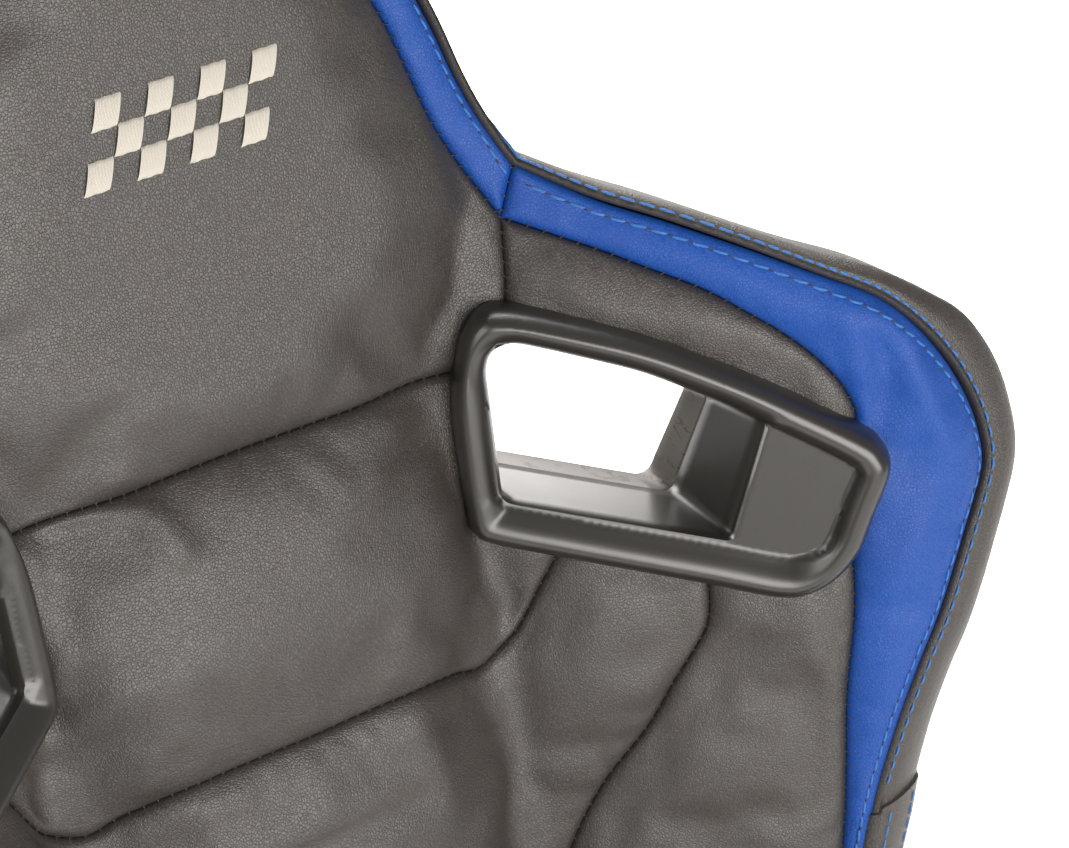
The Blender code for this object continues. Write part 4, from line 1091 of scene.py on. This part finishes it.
def overlap_panel(boxing, side, sign):
    """The boxing's lower panel, lapped over the upper one along a slanting edge with two stitched rows."""
    rows = np.array(boxing.rows()[:-3])
    across = np.gradient(rows, axis=0)
    along = np.roll(rows, -1, 1) - np.roll(rows, 1, 1)
    normal = unit(np.cross(across.reshape(-1, 3), along.reshape(-1, 3))).reshape(rows.shape)
    if normal[4, :, 2].mean() < 0.0:
        normal = -normal
    raised = rows + OVERLAP * normal
    chosen = np.flatnonzero((np.sign(boxing.edge[:, 0]) == sign) & (np.abs(boxing.edge[:, 0]) > 0.150)
                            & (boxing.edge[:, 1] < -0.110))
    height, length = boxing.edge[chosen, 1], boxing.length[chosen]
    upward = np.argsort(height)
    outs = [out for out, _ in BOXING_FRONT] + [1.0] * (len(rows) - len(BOXING_FRONT))

    def at(grid, k, where):
        return np.column_stack([np.interp(where, np.sort(length), grid[k, chosen, c][np.argsort(length)])
                                for c in range(3)])

    def start(k, below=0.0):
        return np.interp(BOXING_SPLIT - 0.010 + 0.014 * outs[k] - below, height[upward], length[upward])

    end = length[upward[0]]
    steps = np.linspace(0.0, 1.0, 70) ** 1.5
    strips = []
    for k in range(len(rows)):
        top = start(k)
        where = top + (end - top) * steps
        tucked = at(rows, k, [top - 0.0004 * np.sign(end - top)])
        strips.append(np.vstack([tucked, at(raised, k, where)]))
    points, faces = lofted([leant(strip) for strip in strips], closed_loop=False)
    if sign < 0:
        faces = [f[::-1] for f in faces]
    add_mesh(f"leather_boxing_lower_{side}", points, faces, BLACK_LEATHER, "backrest", LEATHER_ANGLE)
    for number, wanted in enumerate(LAP_ROWS):
        k = int(np.argmin(np.abs(np.array(outs) - wanted)))
        top = start(k, 0.003)
        path = at(raised, k, np.linspace(top, end, 200))
        threads_along(f"topstitch_lap_{side}_{number}", even_line(path, 0.0008))


def threads_along(name, path):
    """Separate stitches along a line in space."""
    length = lengths_along(path)
    thickness = STITCH_R * np.array([0.5, 0.9, 1.0, 0.9, 0.5])
    parts = []
    for centre in np.arange(0.5 * STITCH_PITCH, length[-1], STITCH_PITCH):
        line = places_at(centre + np.linspace(-0.5, 0.5, 5) * STITCH_LENGTH, length, path)
        parts.append(tube_mesh(leant(line), thickness, 7))
    add_mesh(name, *merged(parts), BLUE_THREAD, "backrest", THREAD_ANGLE)


# ---------------------------------------------------------------- harness guides
RIM_CREST = 0.0064  # from the rim's outer edge to its highest line
RIM_WIDTH = 0.0126
LOWER_EXTRA = 0.0065  # the bead is this much wider below the opening
RIM_HEIGHT = 0.0088
PLATE_LEVEL = 0.0030
MOUTH_FLANK = 0.0090
RIM_SUNK, MOUTH_SUNK = 0.002, 0.0012  # levels below the plane at the rim's foot and the opening's edge
SKIRT = 0.0060  # depth of the rim's outer wall
PARTING, PARTING_GAP = 0.038, 0.0004


def guide_points(flat, level, sign):
    """Points at a level above the guide's sloping plane, measured square to it."""
    flat = np.asarray(flat, float)
    level = np.broadcast_to(level, len(flat))
    across = flat[:, 0] - sign * level * WING_SLOPE / STRETCH
    forward = guide_plane(*flat.T) + level / STRETCH
    return np.column_stack([across, flat[:, 1], forward])


def rim_level(outer_gap, mouth_gap, flat):
    """Level of the rim's bead, of the plate inside it and of the turn into the opening."""
    climb = np.clip(1.0 - outer_gap / RIM_CREST, 0.0, 1.0)
    outside = -RIM_SUNK + (RIM_HEIGHT + RIM_SUNK) * np.sqrt(1.0 - climb ** 2.2)
    low = smooth_step((mouth_floor(np.abs(flat[:, 0])) + 0.004 - flat[:, 1]) / 0.012)
    width = RIM_WIDTH - RIM_CREST + LOWER_EXTRA * low
    drop = np.clip((outer_gap - RIM_CREST) / width, 0.0, 1.0)
    round_share = (1.0 - drop ** 2.6) ** 0.75
    long_share = 0.5 + 0.5 * np.cos(np.pi * drop)
    share = round_share + (long_share - round_share) * low
    inside_rim = PLATE_LEVEL + (RIM_HEIGHT - PLATE_LEVEL) * share
    turn = np.clip(1.0 - mouth_gap / MOUTH_FLANK, 0.0, 1.0)
    flank = -MOUTH_SUNK + (RIM_HEIGHT + MOUTH_SUNK) * np.sqrt(1.0 - turn ** 2)
    return np.minimum(np.minimum(outside, inside_rim), flank)


def guide_rim(side, sign):
    """A guide's front half: a moulded rim and plate with the front part of the tunnel."""
    outer = anticlockwise(sided(smooth_line(GUIDE_EDGE, 0.0016, closed=True), sign))
    mouth = guide_mouth(0.0, sign)
    wide_outer, wide_mouth = stretched(outer), stretched(mouth)
    flat, triangles = flat_sheet([wide_outer, wide_mouth], (0.0003, 0.0008, 0.0015), 0.0013)
    outer_gap = distance_to(flat, [wide_outer])
    mouth_gap = distance_to(flat, [wide_mouth])
    real = unstretched(flat)
    points = [guide_points(real, rim_level(outer_gap, mouth_gap, real), sign)]
    faces = [tuple(t) for t in triangles]
    count = len(real)
    on_mouth = mouth_gap < 1e-5
    mouth_edges, skirt_edges = [], []
    for i, j in open_edges(triangles):
        (mouth_edges if on_mouth[i] and on_mouth[j] else skirt_edges).append((i, j))

    def extruded(edges, rows):
        nonlocal count
        used = sorted({i for e in edges for i in e})
        before = {i: i for i in used}
        for row in rows:
            here = {i: count + k for k, i in enumerate(used)}
            points.append(row(used))
            faces.extend((before[j], before[i], here[i], here[j]) for i, j in edges)
            count += len(used)
            before = here

    def wall(depth, out=0.0):
        """A row of the tunnel's wall at a depth behind the plane, moved `out` into the foam."""
        loop = grown(guide_mouth(depth, sign), out)

        def row(used):
            nearest = ((real[used][:, None] - mouth[None]) ** 2).sum(2).argmin(1)
            return np.column_stack([loop[nearest], guide_plane(*real[used].T) - depth])

        return row

    extruded(skirt_edges, [lambda used: guide_points(real[used], -SKIRT, sign)])
    depths = (0.002, 0.008, 0.016, 0.024, 0.032, PARTING - 0.0006)
    extruded(mouth_edges, [*(wall(depth) for depth in depths), wall(PARTING, 0.0006), wall(PARTING, 0.0032)])
    made = add_mesh(f"guide_rim_{side}", leant(np.vstack(points)), faces, GUIDE_PLASTIC, "backrest", 62.0)
    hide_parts(f"harness_guide_front_{side}")


def guide_sleeve(side, sign):
    """A guide's rear half: a sleeve with a rounded flange that clamps the rear cover."""
    mouth = guide_mouth(0.0, sign)
    plane = guide_plane(*mouth.T)
    front = plane - PARTING - PARTING_GAP
    rear = WING_SLOPE * (np.abs(mouth[:, 0]) - WING_ROOT - REAR_ROOT) - REAR_DEPTH[1][-1]
    profile = [(0.0032, front), (0.0010, front), (0.0004, front - 0.0008), (0.0004, rear + 0.0020),
               (0.0000, rear - 0.0015), (0.0007, rear - 0.0029), (0.0022, rear - 0.0036),
               (0.0095, rear - 0.0036), (0.0112, rear - 0.0030), (0.0120, rear - 0.0016),
               (0.0120, rear - 0.0003), (0.0034, rear - 0.0003)]
    rows = []
    for out, level in profile:
        loop = grown(guide_mouth(float(np.mean(plane - level)), sign), out)
        rows.append(leant(np.column_stack([loop, level])))
    points, faces = lofted(rows, closed_rows=True)
    faces = [f[::-1] for f in faces]
    made = add_mesh(f"guide_sleeve_{side}", points, faces, SLEEVE_PLASTIC, "backrest", 34.0)
    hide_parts(f"harness_guide_rear_{side}")


# ---------------------------------------------------------------- embroidered emblem
EMBLEM_CENTRE = (0.002, 0.161)
EMBLEM_CELL = (0.0098, 0.0098)
EMBLEM_COLUMNS, EMBLEM_ROWS = 7, 3
EMBLEM_SLANT = 0.38
THREAD_PITCH, THREAD_R = 0.00055, 0.00030


def emblem(cover):
    """A chequered-flag parallelogram in raised silver satin stitch."""
    parts = []
    width, height = EMBLEM_CELL
    share = np.array([-0.02, 0.02, 0.10, 0.30, 0.50, 0.70, 0.90, 0.98, 1.02])
    rise = np.array([-0.0003, 0.0002, 0.0006, 0.0009, 0.0010, 0.0009, 0.0006, 0.0002, -0.0003])
    cells = [(column, row) for column in range(EMBLEM_COLUMNS) for row in range(EMBLEM_ROWS)
             if (column + row) % 2 == 0]
    for column, row in cells:
        x0 = (column - EMBLEM_COLUMNS / 2) * width
        y0 = (row - EMBLEM_ROWS / 2) * height
        for k in range(int(width / THREAD_PITCH)):
            x = x0 + (k + 0.5) * THREAD_PITCH
            ragged = 0.012 * np.sin(37.0 * k + 5.0 * column + 3.0 * row)
            y = y0 + (share + ragged) * height
            flat = np.column_stack([x + EMBLEM_SLANT * y, y]) + EMBLEM_CENTRE
            parts.append(tube_mesh(leant(cover.place(flat, rise)), THREAD_R, 5))
    add_mesh("emblem_chequers", *merged(parts), SILVER_THREAD, "backrest", THREAD_ANGLE)


# ---------------------------------------------------------------- rear of the back
REAR_WALL = 0.004
REAR_INSET = 0.0035
REAR_STEP = 0.0045
HOLE_MARGIN = 0.0040  # the leather's opening round a guide's tunnel
REAR_EDGE_ROLL, REAR_SEAM_ROLL, REAR_BULGE = 0.0040, 0.0026, 0.0030
PIPING_R = 0.0022
TOPSTITCH_ASIDE = 0.0050  # from a rear seam to the rows beside it
REAR_SEAM = [(0.112, -0.5205), (0.108, -0.420), (0.104, -0.300), (0.100, -0.150), (0.094, -0.040),
             (0.088, 0.020), (0.082, 0.070), (0.078, 0.120), (0.066, 0.190), (0.058, 0.2345)]
REAR_YOKE = [(-0.089, 0.062), (-0.045, 0.052), (0.0, 0.049), (0.045, 0.052), (0.089, 0.062)]


def rear_panels(boxing):
    """The rear cover's leather: centre, side and head sections, and piping along its edge."""
    outline = evenly_closed(grown(boxing.edge, -REAR_INSET), REAR_STEP)
    holes = [evenly_closed(grown(guide_mouth(TUNNEL, sign, 0.003), HOLE_MARGIN), REAR_STEP)
             for _, sign in SIDES]
    seams = [sided(smooth_line(REAR_SEAM, REAR_STEP), sign) for _, sign in SIDES]
    seams.append(smooth_line(REAR_YOKE, REAR_STEP))
    flat, triangles = flat_sheet([outline, *holes], (0.0008, 0.0018, 0.0032, 0.0052), 0.0062)

    def lift_of(places):
        edge_gap = distance_to(places, [outline])
        seam_gap = np.min([distance_to_open(places, line) for line in seams], axis=0)
        hole_gap = distance_to(places, holes)
        lift = rolled(edge_gap, REAR_EDGE_ROLL) + rolled(seam_gap, REAR_SEAM_ROLL)
        lift += REAR_BULGE * (1.0 - np.exp(-np.minimum(edge_gap, seam_gap) / 0.018))
        return lift * smooth_step(hole_gap / 0.006)

    def place(places, above=0.0):
        places = np.asarray(places, float)
        normal = surface_normal(cover_rear, places)
        base = np.column_stack([places, cover_rear(*places.T)])
        return base - normal * (lift_of(places) + above)[:, None]

    outer = place(flat)
    inner = np.column_stack([flat, cover_rear(*flat.T) + REAR_WALL])
    count = len(flat)
    faces = [tuple(t[::-1]) for t in triangles] + [tuple(t + count) for t in triangles]
    faces += [(i, j, j + count, i + count) for i, j in open_edges(triangles)]
    made = add_mesh("leather_rear_cover", leant(np.vstack([outer, inner])), faces, BLACK_LEATHER, "backrest",
                    LEATHER_ANGLE)
    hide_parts("rear_cover")
    threads = (BLUE_THREAD, BLUE_THREAD, BLACK_THREAD)
    for number, (line, colour) in enumerate(zip(seams, threads)):
        cross_stitches(f"seam_thread_rear_{number}", line, place, OTHER_SEWING)
        for label, shift in (("a", TOPSTITCH_ASIDE), ("b", -TOPSTITCH_ASIDE)):
            beside = line + shift * outward_open(line)
            stitch_row(f"topstitch_rear_{number}{label}", beside[1:-1], place, material=colour)
    line = grown(boxing.edge, -0.0010)
    line = np.column_stack([line, cover_rear(*line.T) - 0.0008])
    add_mesh("piping_rear", *tube_mesh(leant(line), PIPING_R, 10, closed=True), BLACK_LEATHER, "backrest")


# ---------------------------------------------------------------- cushion
ORIGIN_Y = 0.0164
CUSHION_FRONT, CUSHION_REAR = -0.372 + ORIGIN_Y, 0.104 + ORIGIN_Y
CUSHION_CENTRE = 0.150
CUSHION_HALF = 0.233
CUSHION_BASE = 0.118
CUSHION_SPLIT_Y = -0.300 + ORIGIN_Y
BOLSTER_REAR = 0.050 + ORIGIN_Y
BAND_X = 0.210
STITCH_ASIDE = 0.0052  # from the band's inner seam to the rows beside it
COVER_TOP = 0.1983
CUSHION_ROLL, CUSHION_EDGE_ROLL = 0.0034, 0.0105  # radii at the seams and at the outer edge
CUSHION_VALLEY, CUSHION_PLUMPNESS = 0.0022, 0.0015
CREST_Y = np.array([-0.372, -0.340, -0.250, -0.120, -0.030, 0.030, 0.060, 0.104]) + ORIGIN_Y
CREST_Z = (0.262, 0.292, 0.312, 0.322, 0.305, 0.268, 0.236, 0.220)
MIDDLE_Y = np.array([-0.300, -0.120, 0.040, 0.104]) + ORIGIN_Y
MIDDLE_Z = (0.284, 0.262, 0.236, 0.222)
CUSHION_SEAM = [(0.100, CUSHION_REAR), (0.103, -0.020), (0.108, -0.160), (0.112, CUSHION_SPLIT_Y)]


BOLSTER_FOOT, BOLSTER_SLOPE = 0.010, 0.062  # the bolsters start inside their seam and rise over the slope
SHOULDER_X, SHOULDER_WIDTH, SHOULDER_DROP = 0.212, 0.040, 0.050  # the bolsters' outer fall
NOSE_LENGTH, NOSE_DROP, NOSE_POWER = 0.038, 0.032, 2.4
ROLL_LENGTH, ROLL_FOOT, ROLL_SAG = 0.060, 0.200, 0.004  # the front roll's turn, its foot and its ends' sag


def cushion_top(across, along):
    rise = smooth_step((np.abs(across) - CUSHION_CENTRE + BOLSTER_FOOT) / BOLSTER_SLOPE)
    fall = smooth_step((np.abs(across) - SHOULDER_X) / SHOULDER_WIDTH)
    middle = soft_table(along, MIDDLE_Y, MIDDLE_Z)
    nose = (1.0 - np.clip((along - CUSHION_FRONT) / NOSE_LENGTH, 0.0, 1.0)) ** NOSE_POWER
    crest = soft_table(along, CREST_Y, CREST_Z)
    return middle + (crest - middle) * rise - SHOULDER_DROP * fall - NOSE_DROP * nose


def front_roll_top(across, along):
    edge = np.clip((along - CUSHION_FRONT) / ROLL_LENGTH, 0.0, 1.0)
    top = soft_table(np.full_like(along, CUSHION_SPLIT_Y), MIDDLE_Y, MIDDLE_Z)
    turn = (top - ROLL_FOOT) * (1.0 - (1.0 - edge) ** NOSE_POWER)
    return ROLL_FOOT + turn - ROLL_SAG * (np.abs(across) / CUSHION_CENTRE) ** 4


def cushion_outlines():
    half, gap = CUSHION_CENTRE, 0.0003
    front, rear = CUSHION_FRONT, CUSHION_REAR
    outlines = {
        "cushion_centre": [(-half + gap, CUSHION_SPLIT_Y + gap), (half - gap, CUSHION_SPLIT_Y + gap),
                           (half - gap, rear), (-half + gap, rear)],
        "cushion_front_roll": [(-half + gap, front), (half - gap, front), (half - gap, CUSHION_SPLIT_Y - gap),
                               (-half + gap, CUSHION_SPLIT_Y - gap)],
    }
    bolster = [(half + gap, front + 0.004), (BAND_X - gap, front + 0.004), (BAND_X - gap, BOLSTER_REAR),
               (0.183, BOLSTER_REAR + 0.006), (0.182, rear - 0.010), (half + gap, rear - 0.004)]
    band = [(BAND_X + gap, front + 0.006), (CUSHION_HALF - 0.012, front + 0.014),
            (CUSHION_HALF, front + 0.040), (CUSHION_HALF, BOLSTER_REAR - 0.040),
            (CUSHION_HALF - 0.010, BOLSTER_REAR - 0.012), (BAND_X + gap, BOLSTER_REAR - 0.002)]
    for side, sign in SIDES:
        outlines[f"cushion_bolster_{side}"] = sided(bolster, sign)
        outlines[f"cushion_band_{side}"] = sided(band, sign)
    return outlines


def cushion_seams():
    """Lines where the cushion's sections meet or a channel is sewn."""
    front, rear = CUSHION_FRONT, CUSHION_REAR
    lines = {"cross": [(-CUSHION_CENTRE, CUSHION_SPLIT_Y), (CUSHION_CENTRE, CUSHION_SPLIT_Y)]}
    for side, sign in SIDES:
        lines[f"inner_{side}"] = sided([(CUSHION_CENTRE, front + 0.004), (CUSHION_CENTRE, rear)], sign)
        lines[f"outer_{side}"] = sided([(BAND_X, front + 0.008), (BAND_X, BOLSTER_REAR - 0.004)], sign)
        channel = joined([(0.114, front + 0.004)], smooth_line(CUSHION_SEAM, 0.01)[::-1])
        lines[f"channel_{side}"] = sided(channel, sign)
    return {name: even_line(np.asarray(line, float), 0.004) for name, line in lines.items()}


class Cushion:
    """The cushion's upper leather."""

    def __init__(self):
        self.seams = cushion_seams()
        outer = [(CUSHION_HALF, CUSHION_FRONT), (CUSHION_HALF, CUSHION_REAR), (-CUSHION_HALF, CUSHION_REAR),
                 (-CUSHION_HALF, CUSHION_FRONT)]
        self.settle = settled("cushion_cloth", [np.asarray(outer)], list(self.seams.values()),
                              lambda flat: np.column_stack([flat, self.surface(*flat.T)]),
                              lambda flat: surface_normal(self.surface, flat), 0.008, CLOTH_PRESSURE,
                              0.020, (-0.004, 0.009))

    def surface(self, across, along):
        on_roll = (along < CUSHION_SPLIT_Y) & (np.abs(across) < CUSHION_CENTRE)
        return np.where(on_roll, front_roll_top(across, along), cushion_top(across, along))

    def lift(self, flat, outer_gap):
        seam_gap = np.min([distance_to_open(flat, line) for line in self.seams.values()], axis=0)
        hollow = CUSHION_VALLEY * np.exp(-seam_gap / 0.012)
        lift = rolled(seam_gap, CUSHION_ROLL) - hollow + rolled(outer_gap, CUSHION_EDGE_ROLL)
        free = smooth_step(np.minimum(seam_gap, outer_gap) / 0.010)
        return lift + (self.settle(flat) + CUSHION_PLUMPNESS) * free

    def place(self, flat, above=0.0, outer_gap=None):
        flat = np.asarray(flat, float)
        gap = np.full(len(flat), 1.0) if outer_gap is None else outer_gap
        normal = surface_normal(self.surface, flat)
        base = np.column_stack([flat, self.surface(*flat.T)])
        return base + normal * (self.lift(flat, gap) + above)[:, None]


def underside(flat):
    share = smooth_step((np.abs(flat[:, 0]) - 0.1975) / 0.004)
    return CUSHION_BASE + (COVER_TOP - CUSHION_BASE) * share


def cushion_pad(name, outline, cushion, material):
    loop = anticlockwise(evenly_closed(outline, 0.0040))
    flat, triangles = flat_sheet([loop], (0.0004, 0.0010, 0.0020, 0.0034, 0.0054, 0.0080, 0.0110), 0.0065)
    seam_lines = [line for kind, line in cushion.seams.items() if "channel" not in kind]
    to_seam = np.min([distance_to_open(flat, line) for line in seam_lines], axis=0)
    gap = distance_to(flat, [loop])
    seamed = np.min([distance_to_open(loop, line) for line in seam_lines], axis=0) <= 0.004
    own = loop[~seamed]
    outer_gap = np.full(len(flat), 1.0)
    if len(own):
        outer_gap = np.sqrt(((flat[:, None] - own[None]) ** 2).sum(2)).min(1)
        outer_gap = np.where(outer_gap < 0.016, np.maximum(gap, 0.0), 1.0)
        outer_gap = np.where(to_seam < gap + 0.0005, np.maximum(outer_gap, 0.004), outer_gap)
    top = cushion.place(flat, 0.0, outer_gap)
    ring = [int(np.argmin(((flat - p) ** 2).sum(1))) for p in loop]
    bottom = np.column_stack([flat, underside(flat)])
    points, faces = [top, bottom], [tuple(t) for t in triangles]
    faces += [tuple(t[::-1] + len(top)) for t in triangles]
    count = 2 * len(top)
    normal = outward_normals(flat[ring])
    free = smooth_step((to_seam[ring] - 0.002) / 0.030)
    rows = [list(ring)]
    for share in (0.12, 0.28, 0.46, 0.64, 0.82, 0.94):
        swell = 0.0050 * np.sin(np.pi * share) ** 0.8 - 0.0015 * share ** 8
        place = flat[ring] + normal * (free * swell)[:, None]
        level = top[ring][:, 2] + (bottom[ring][:, 2] - top[ring][:, 2]) * share
        points.append(np.column_stack([place, level]))
        rows.append(list(range(count, count + len(ring))))
        count += len(ring)
    rows.append([i + len(top) for i in ring])
    for upper, lower in zip(rows, rows[1:]):
        for k in range(len(ring)):
            n = (k + 1) % len(ring)
            faces.append((upper[n], upper[k], lower[k], lower[n]))
    made = add_mesh(f"leather_{name}", np.vstack(points), faces, material, "seat", LEATHER_ANGLE)
    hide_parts(name)


def seat_cushion():
    cushion = Cushion()
    for name, outline in cushion_outlines().items():
        cushion_pad(name, outline, cushion, BLUE_LEATHER if "band" in name else BLACK_LEATHER)
    for name, line in cushion.seams.items():
        cross_stitches(f"seam_thread_cushion_{name}", line, cushion.place, OTHER_SEWING, "seat")
    for side, sign in SIDES:
        for label, x in (("inner", BAND_X - STITCH_ASIDE), ("outer", BAND_X + STITCH_ASIDE)):
            line = even_line(sided([(x, CUSHION_FRONT + 0.020), (x, BOLSTER_REAR - 0.016)], sign), 0.003)
            stitch_row(f"topstitch_cushion_{label}_{side}", line, cushion.place, body="seat")


# ---------------------------------------------------------------- screws, bolts and rivets
# rows of a turned head, from its seat: (radius, level, hexagonal), as shares of its radius and height
SOCKET_SCREW = ((1.00, 0.0, False), (1.00, 0.45, False), (0.90, 0.78, False), (0.70, 0.96, False),
                (0.52, 1.0, False), (0.46, 0.98, True), (0.42, 0.45, True))
HEX_BOLT = ((1.30, 0.0, False), (1.30, 0.14, False), (1.24, 0.18, False), (1.00, 0.18, True),
            (1.00, 0.84, True), (0.90, 0.94, False), (0.62, 1.0, False))
RIVET = ((1.00, 0.0, False), (1.00, 0.22, False), (0.92, 0.55, False), (0.74, 0.84, False),
         (0.40, 1.0, False))


# kinds of fastener: (radius, height, rows, material)
COVER_SCREW = (0.0055, 0.0026, SOCKET_SCREW, FRAME_PAINT)
FOOT_BOLT = (0.0052, 0.0058, HEX_BOLT, ZINC)
BRACKET_RIVET = (0.0060, 0.0024, RIVET, ZINC)
SIDES_OF_HEAD = 24


def fastener(name, place, axis, kind, body):
    radius, height, rows, material = kind
    turn = Vector(axis).to_track_quat("Z", "Y").to_matrix()
    angles = np.linspace(0.0, 2 * np.pi, SIDES_OF_HEAD, endpoint=False)
    hexagon = np.cos(np.pi / 6) / np.cos(angles % (np.pi / 3) - np.pi / 6)
    loops = []
    for share, level, flat_sided in rows:
        size = radius * share * (hexagon if flat_sided else np.ones(SIDES_OF_HEAD))
        loops.append(np.column_stack([size * np.cos(angles), size * np.sin(angles),
                                      np.full(SIDES_OF_HEAD, height * level)]))
    points, faces = lofted(loops)
    faces.append(tuple(range(SIDES_OF_HEAD * (len(rows) - 1), SIDES_OF_HEAD * len(rows))))
    add_mesh(name, points @ np.array(turn).T + np.array(place), faces, material, body, 30.0)


def fasteners():
    for side, sign in SIDES:
        outward = (sign, 0.0, 0.0)
        for number, (y, z) in enumerate(((-0.125, 0.095), (0.010, 0.088), (0.140, 0.085))):
            fastener(f"cover_screw_{side}_{number}", (sign * 0.2359, y, z), outward, COVER_SCREW, "seat")
        for number, y in enumerate((-0.265, -0.105, 0.060)):
            fastener(f"foot_bolt_{side}_{number}", (sign * 0.1940, y, 0.0412), (0.0, 0.0, 1.0), FOOT_BOLT,
                     "seat")
        for number, up in enumerate((0.078, 0.104)):
            y, z = PIVOT_Y + up * np.sin(LEAN), PIVOT_Z + up * np.cos(LEAN)
            fastener(f"bracket_rivet_{side}_{number}", (sign * 0.1899, y, z), outward, BRACKET_RIVET,
                     "backrest")


# ---------------------------------------------------------------- stage, camera and light
FLOOR_REACH = 14.0


def stage():
    x = np.linspace(-FLOOR_REACH, FLOOR_REACH, 3)
    points = [(a, b, 0.0) for b in x for a in x]
    faces = [(r * 3 + c, r * 3 + c + 1, r * 3 + c + 4, r * 3 + c + 3) for r in (0, 1) for c in (0, 1)]
    look = Look("floor")
    tone = look.noise(look.place(), 3.0, 3.0)
    tone = look.ramp(tone, (0.3, (0.86, 0.86, 0.86)), (0.7, (0.89, 0.89, 0.89)))
    mesh = bpy.data.meshes.new("floor")
    mesh.from_pydata(points, [], faces)
    mesh.materials.append(look.finish(Base_Color=tone, Roughness=0.85))
    floor = bpy.data.objects.new("floor", mesh)
    SCENE.collection.objects.link(floor)


WARM = (1.0, 0.965, 0.93)
SEAT_CENTRE = (0.0, 0.2, 0.75)
# (name, place, target, size, watts, spread in degrees)
SOFTBOXES = [
    ("front", (0.0, -2.0, 1.35), SEAT_CENTRE, (2.6, 1.5), 78.0, 180.0),
    ("left", (-2.2, -0.6, 1.7), SEAT_CENTRE, (0.9, 1.4), 14.0, 180.0),
    ("rear", (0.7, 2.4, 1.35), SEAT_CENTRE, (2.6, 1.3), 62.0, 180.0),
    ("backdrop", (0.9, 1.9, 2.3), (0.9, 1.7, 0.0), (2.4, 2.0), 80.0, 110.0),
    ("left_floor", (-2.4, 0.9, 2.0), (-1.4, 0.5, 0.0), (1.6, 1.6), 40.0, 180.0),
]


def softbox(name, location, target, size, power, spread):
    light = bpy.data.lights.new(name, "AREA")
    light.shape = "RECTANGLE"
    light.size, light.size_y = size
    light.energy = power
    light.spread = np.radians(spread)
    light.color = WARM
    made = bpy.data.objects.new(name, light)
    made.location = location
    direction = Vector(target) - Vector(location)
    made.rotation_euler = direction.to_track_quat("-Z", "Y").to_euler()
    SCENE.collection.objects.link(made)


CAMERA_AZIMUTH, CAMERA_ELEVATION = np.radians(-35.0), np.radians(34.0)
CAMERA_PLACE = (-0.4483, -0.5334, 1.4368)
CAMERA_LENS = 111.1


def studio():
    world = bpy.data.worlds.new("studio")
    world.use_nodes = True
    background = world.node_tree.nodes["Background"].inputs
    background["Color"].default_value = (1.0, 0.97, 0.94, 1.0)
    background["Strength"].default_value = 0.25
    SCENE.world = world
    for box in SOFTBOXES:
        softbox(*box)
    camera = bpy.data.cameras.new("camera")
    camera.lens = CAMERA_LENS
    camera.sensor_width = 36.0
    camera.clip_start, camera.clip_end = 0.05, 60.0
    made = bpy.data.objects.new("camera", camera)
    made.location = CAMERA_PLACE
    made.rotation_euler = (np.pi / 2 - CAMERA_ELEVATION, 0.0, CAMERA_AZIMUTH)
    SCENE.collection.objects.link(made)
    SCENE.camera = made
    SCENE.view_settings.view_transform = "Standard"


# ---------------------------------------------------------------- carried-over CAD pieces
# (look, how the names of the nodes that have it start)
CAD_LOOKS = [
    (ZINC, ("lower_rail", "upper_rail", "recliner_fixed_disc", "recliner_moving_disc", "lock_plate",
            "sync_rod")),
    (FRAME_PAINT, ("side_frame", "latch_bracket", "cross_tube", "seat_pan", "slide_release_bar",
                   "back_bracket", "back_frame")),
    (COVER_PLASTIC, ("side_cover", "lever_hub", "recline_lever")),
    (SPRING_STEEL, ("recline_spring", "support_wire")),
    (NYLON, ("glide",)),
]
EDGE_RADII = {"side_cover": 0.0030, "recline_lever": 0.0032, "lever_hub": 0.0015, "seat_pan": 0.0025}
SMALL_EDGE = 0.0006


def dress_cad():
    for look, starts in CAD_LOOKS:
        for name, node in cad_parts.items():
            if not name.startswith(starts):
                continue
            for slot in node.material_slots:
                slot.material = look
            weld = node.modifiers.new("weld", "WELD")
            weld.merge_threshold = 0.00002
            bevel = node.modifiers.new("edges", "BEVEL")
            bevel.width = next((r for start, r in EDGE_RADII.items() if name.startswith(start)), SMALL_EDGE)
            bevel.segments = 3
            bevel.limit_method = "ANGLE"
            bevel.angle_limit = np.radians(35.0)


def main():
    outlines, seams, edge, holes = back_outlines()
    cover = Cover(seams, edge, holes)
    front_leather(cover, outlines, seams)
    boxing = Boxing(edge)
    boxing.build()
    for side, sign in SIDES:
        overlap_panel(boxing, side, sign)
        guide_rim(side, sign)
        guide_sleeve(side, sign)
    topstitches(cover, boxing, outlines, edge)
    rear_panels(boxing)
    emblem(cover)
    seat_cushion()
    fasteners()
    dress_cad()
    stage()
    studio()


main()
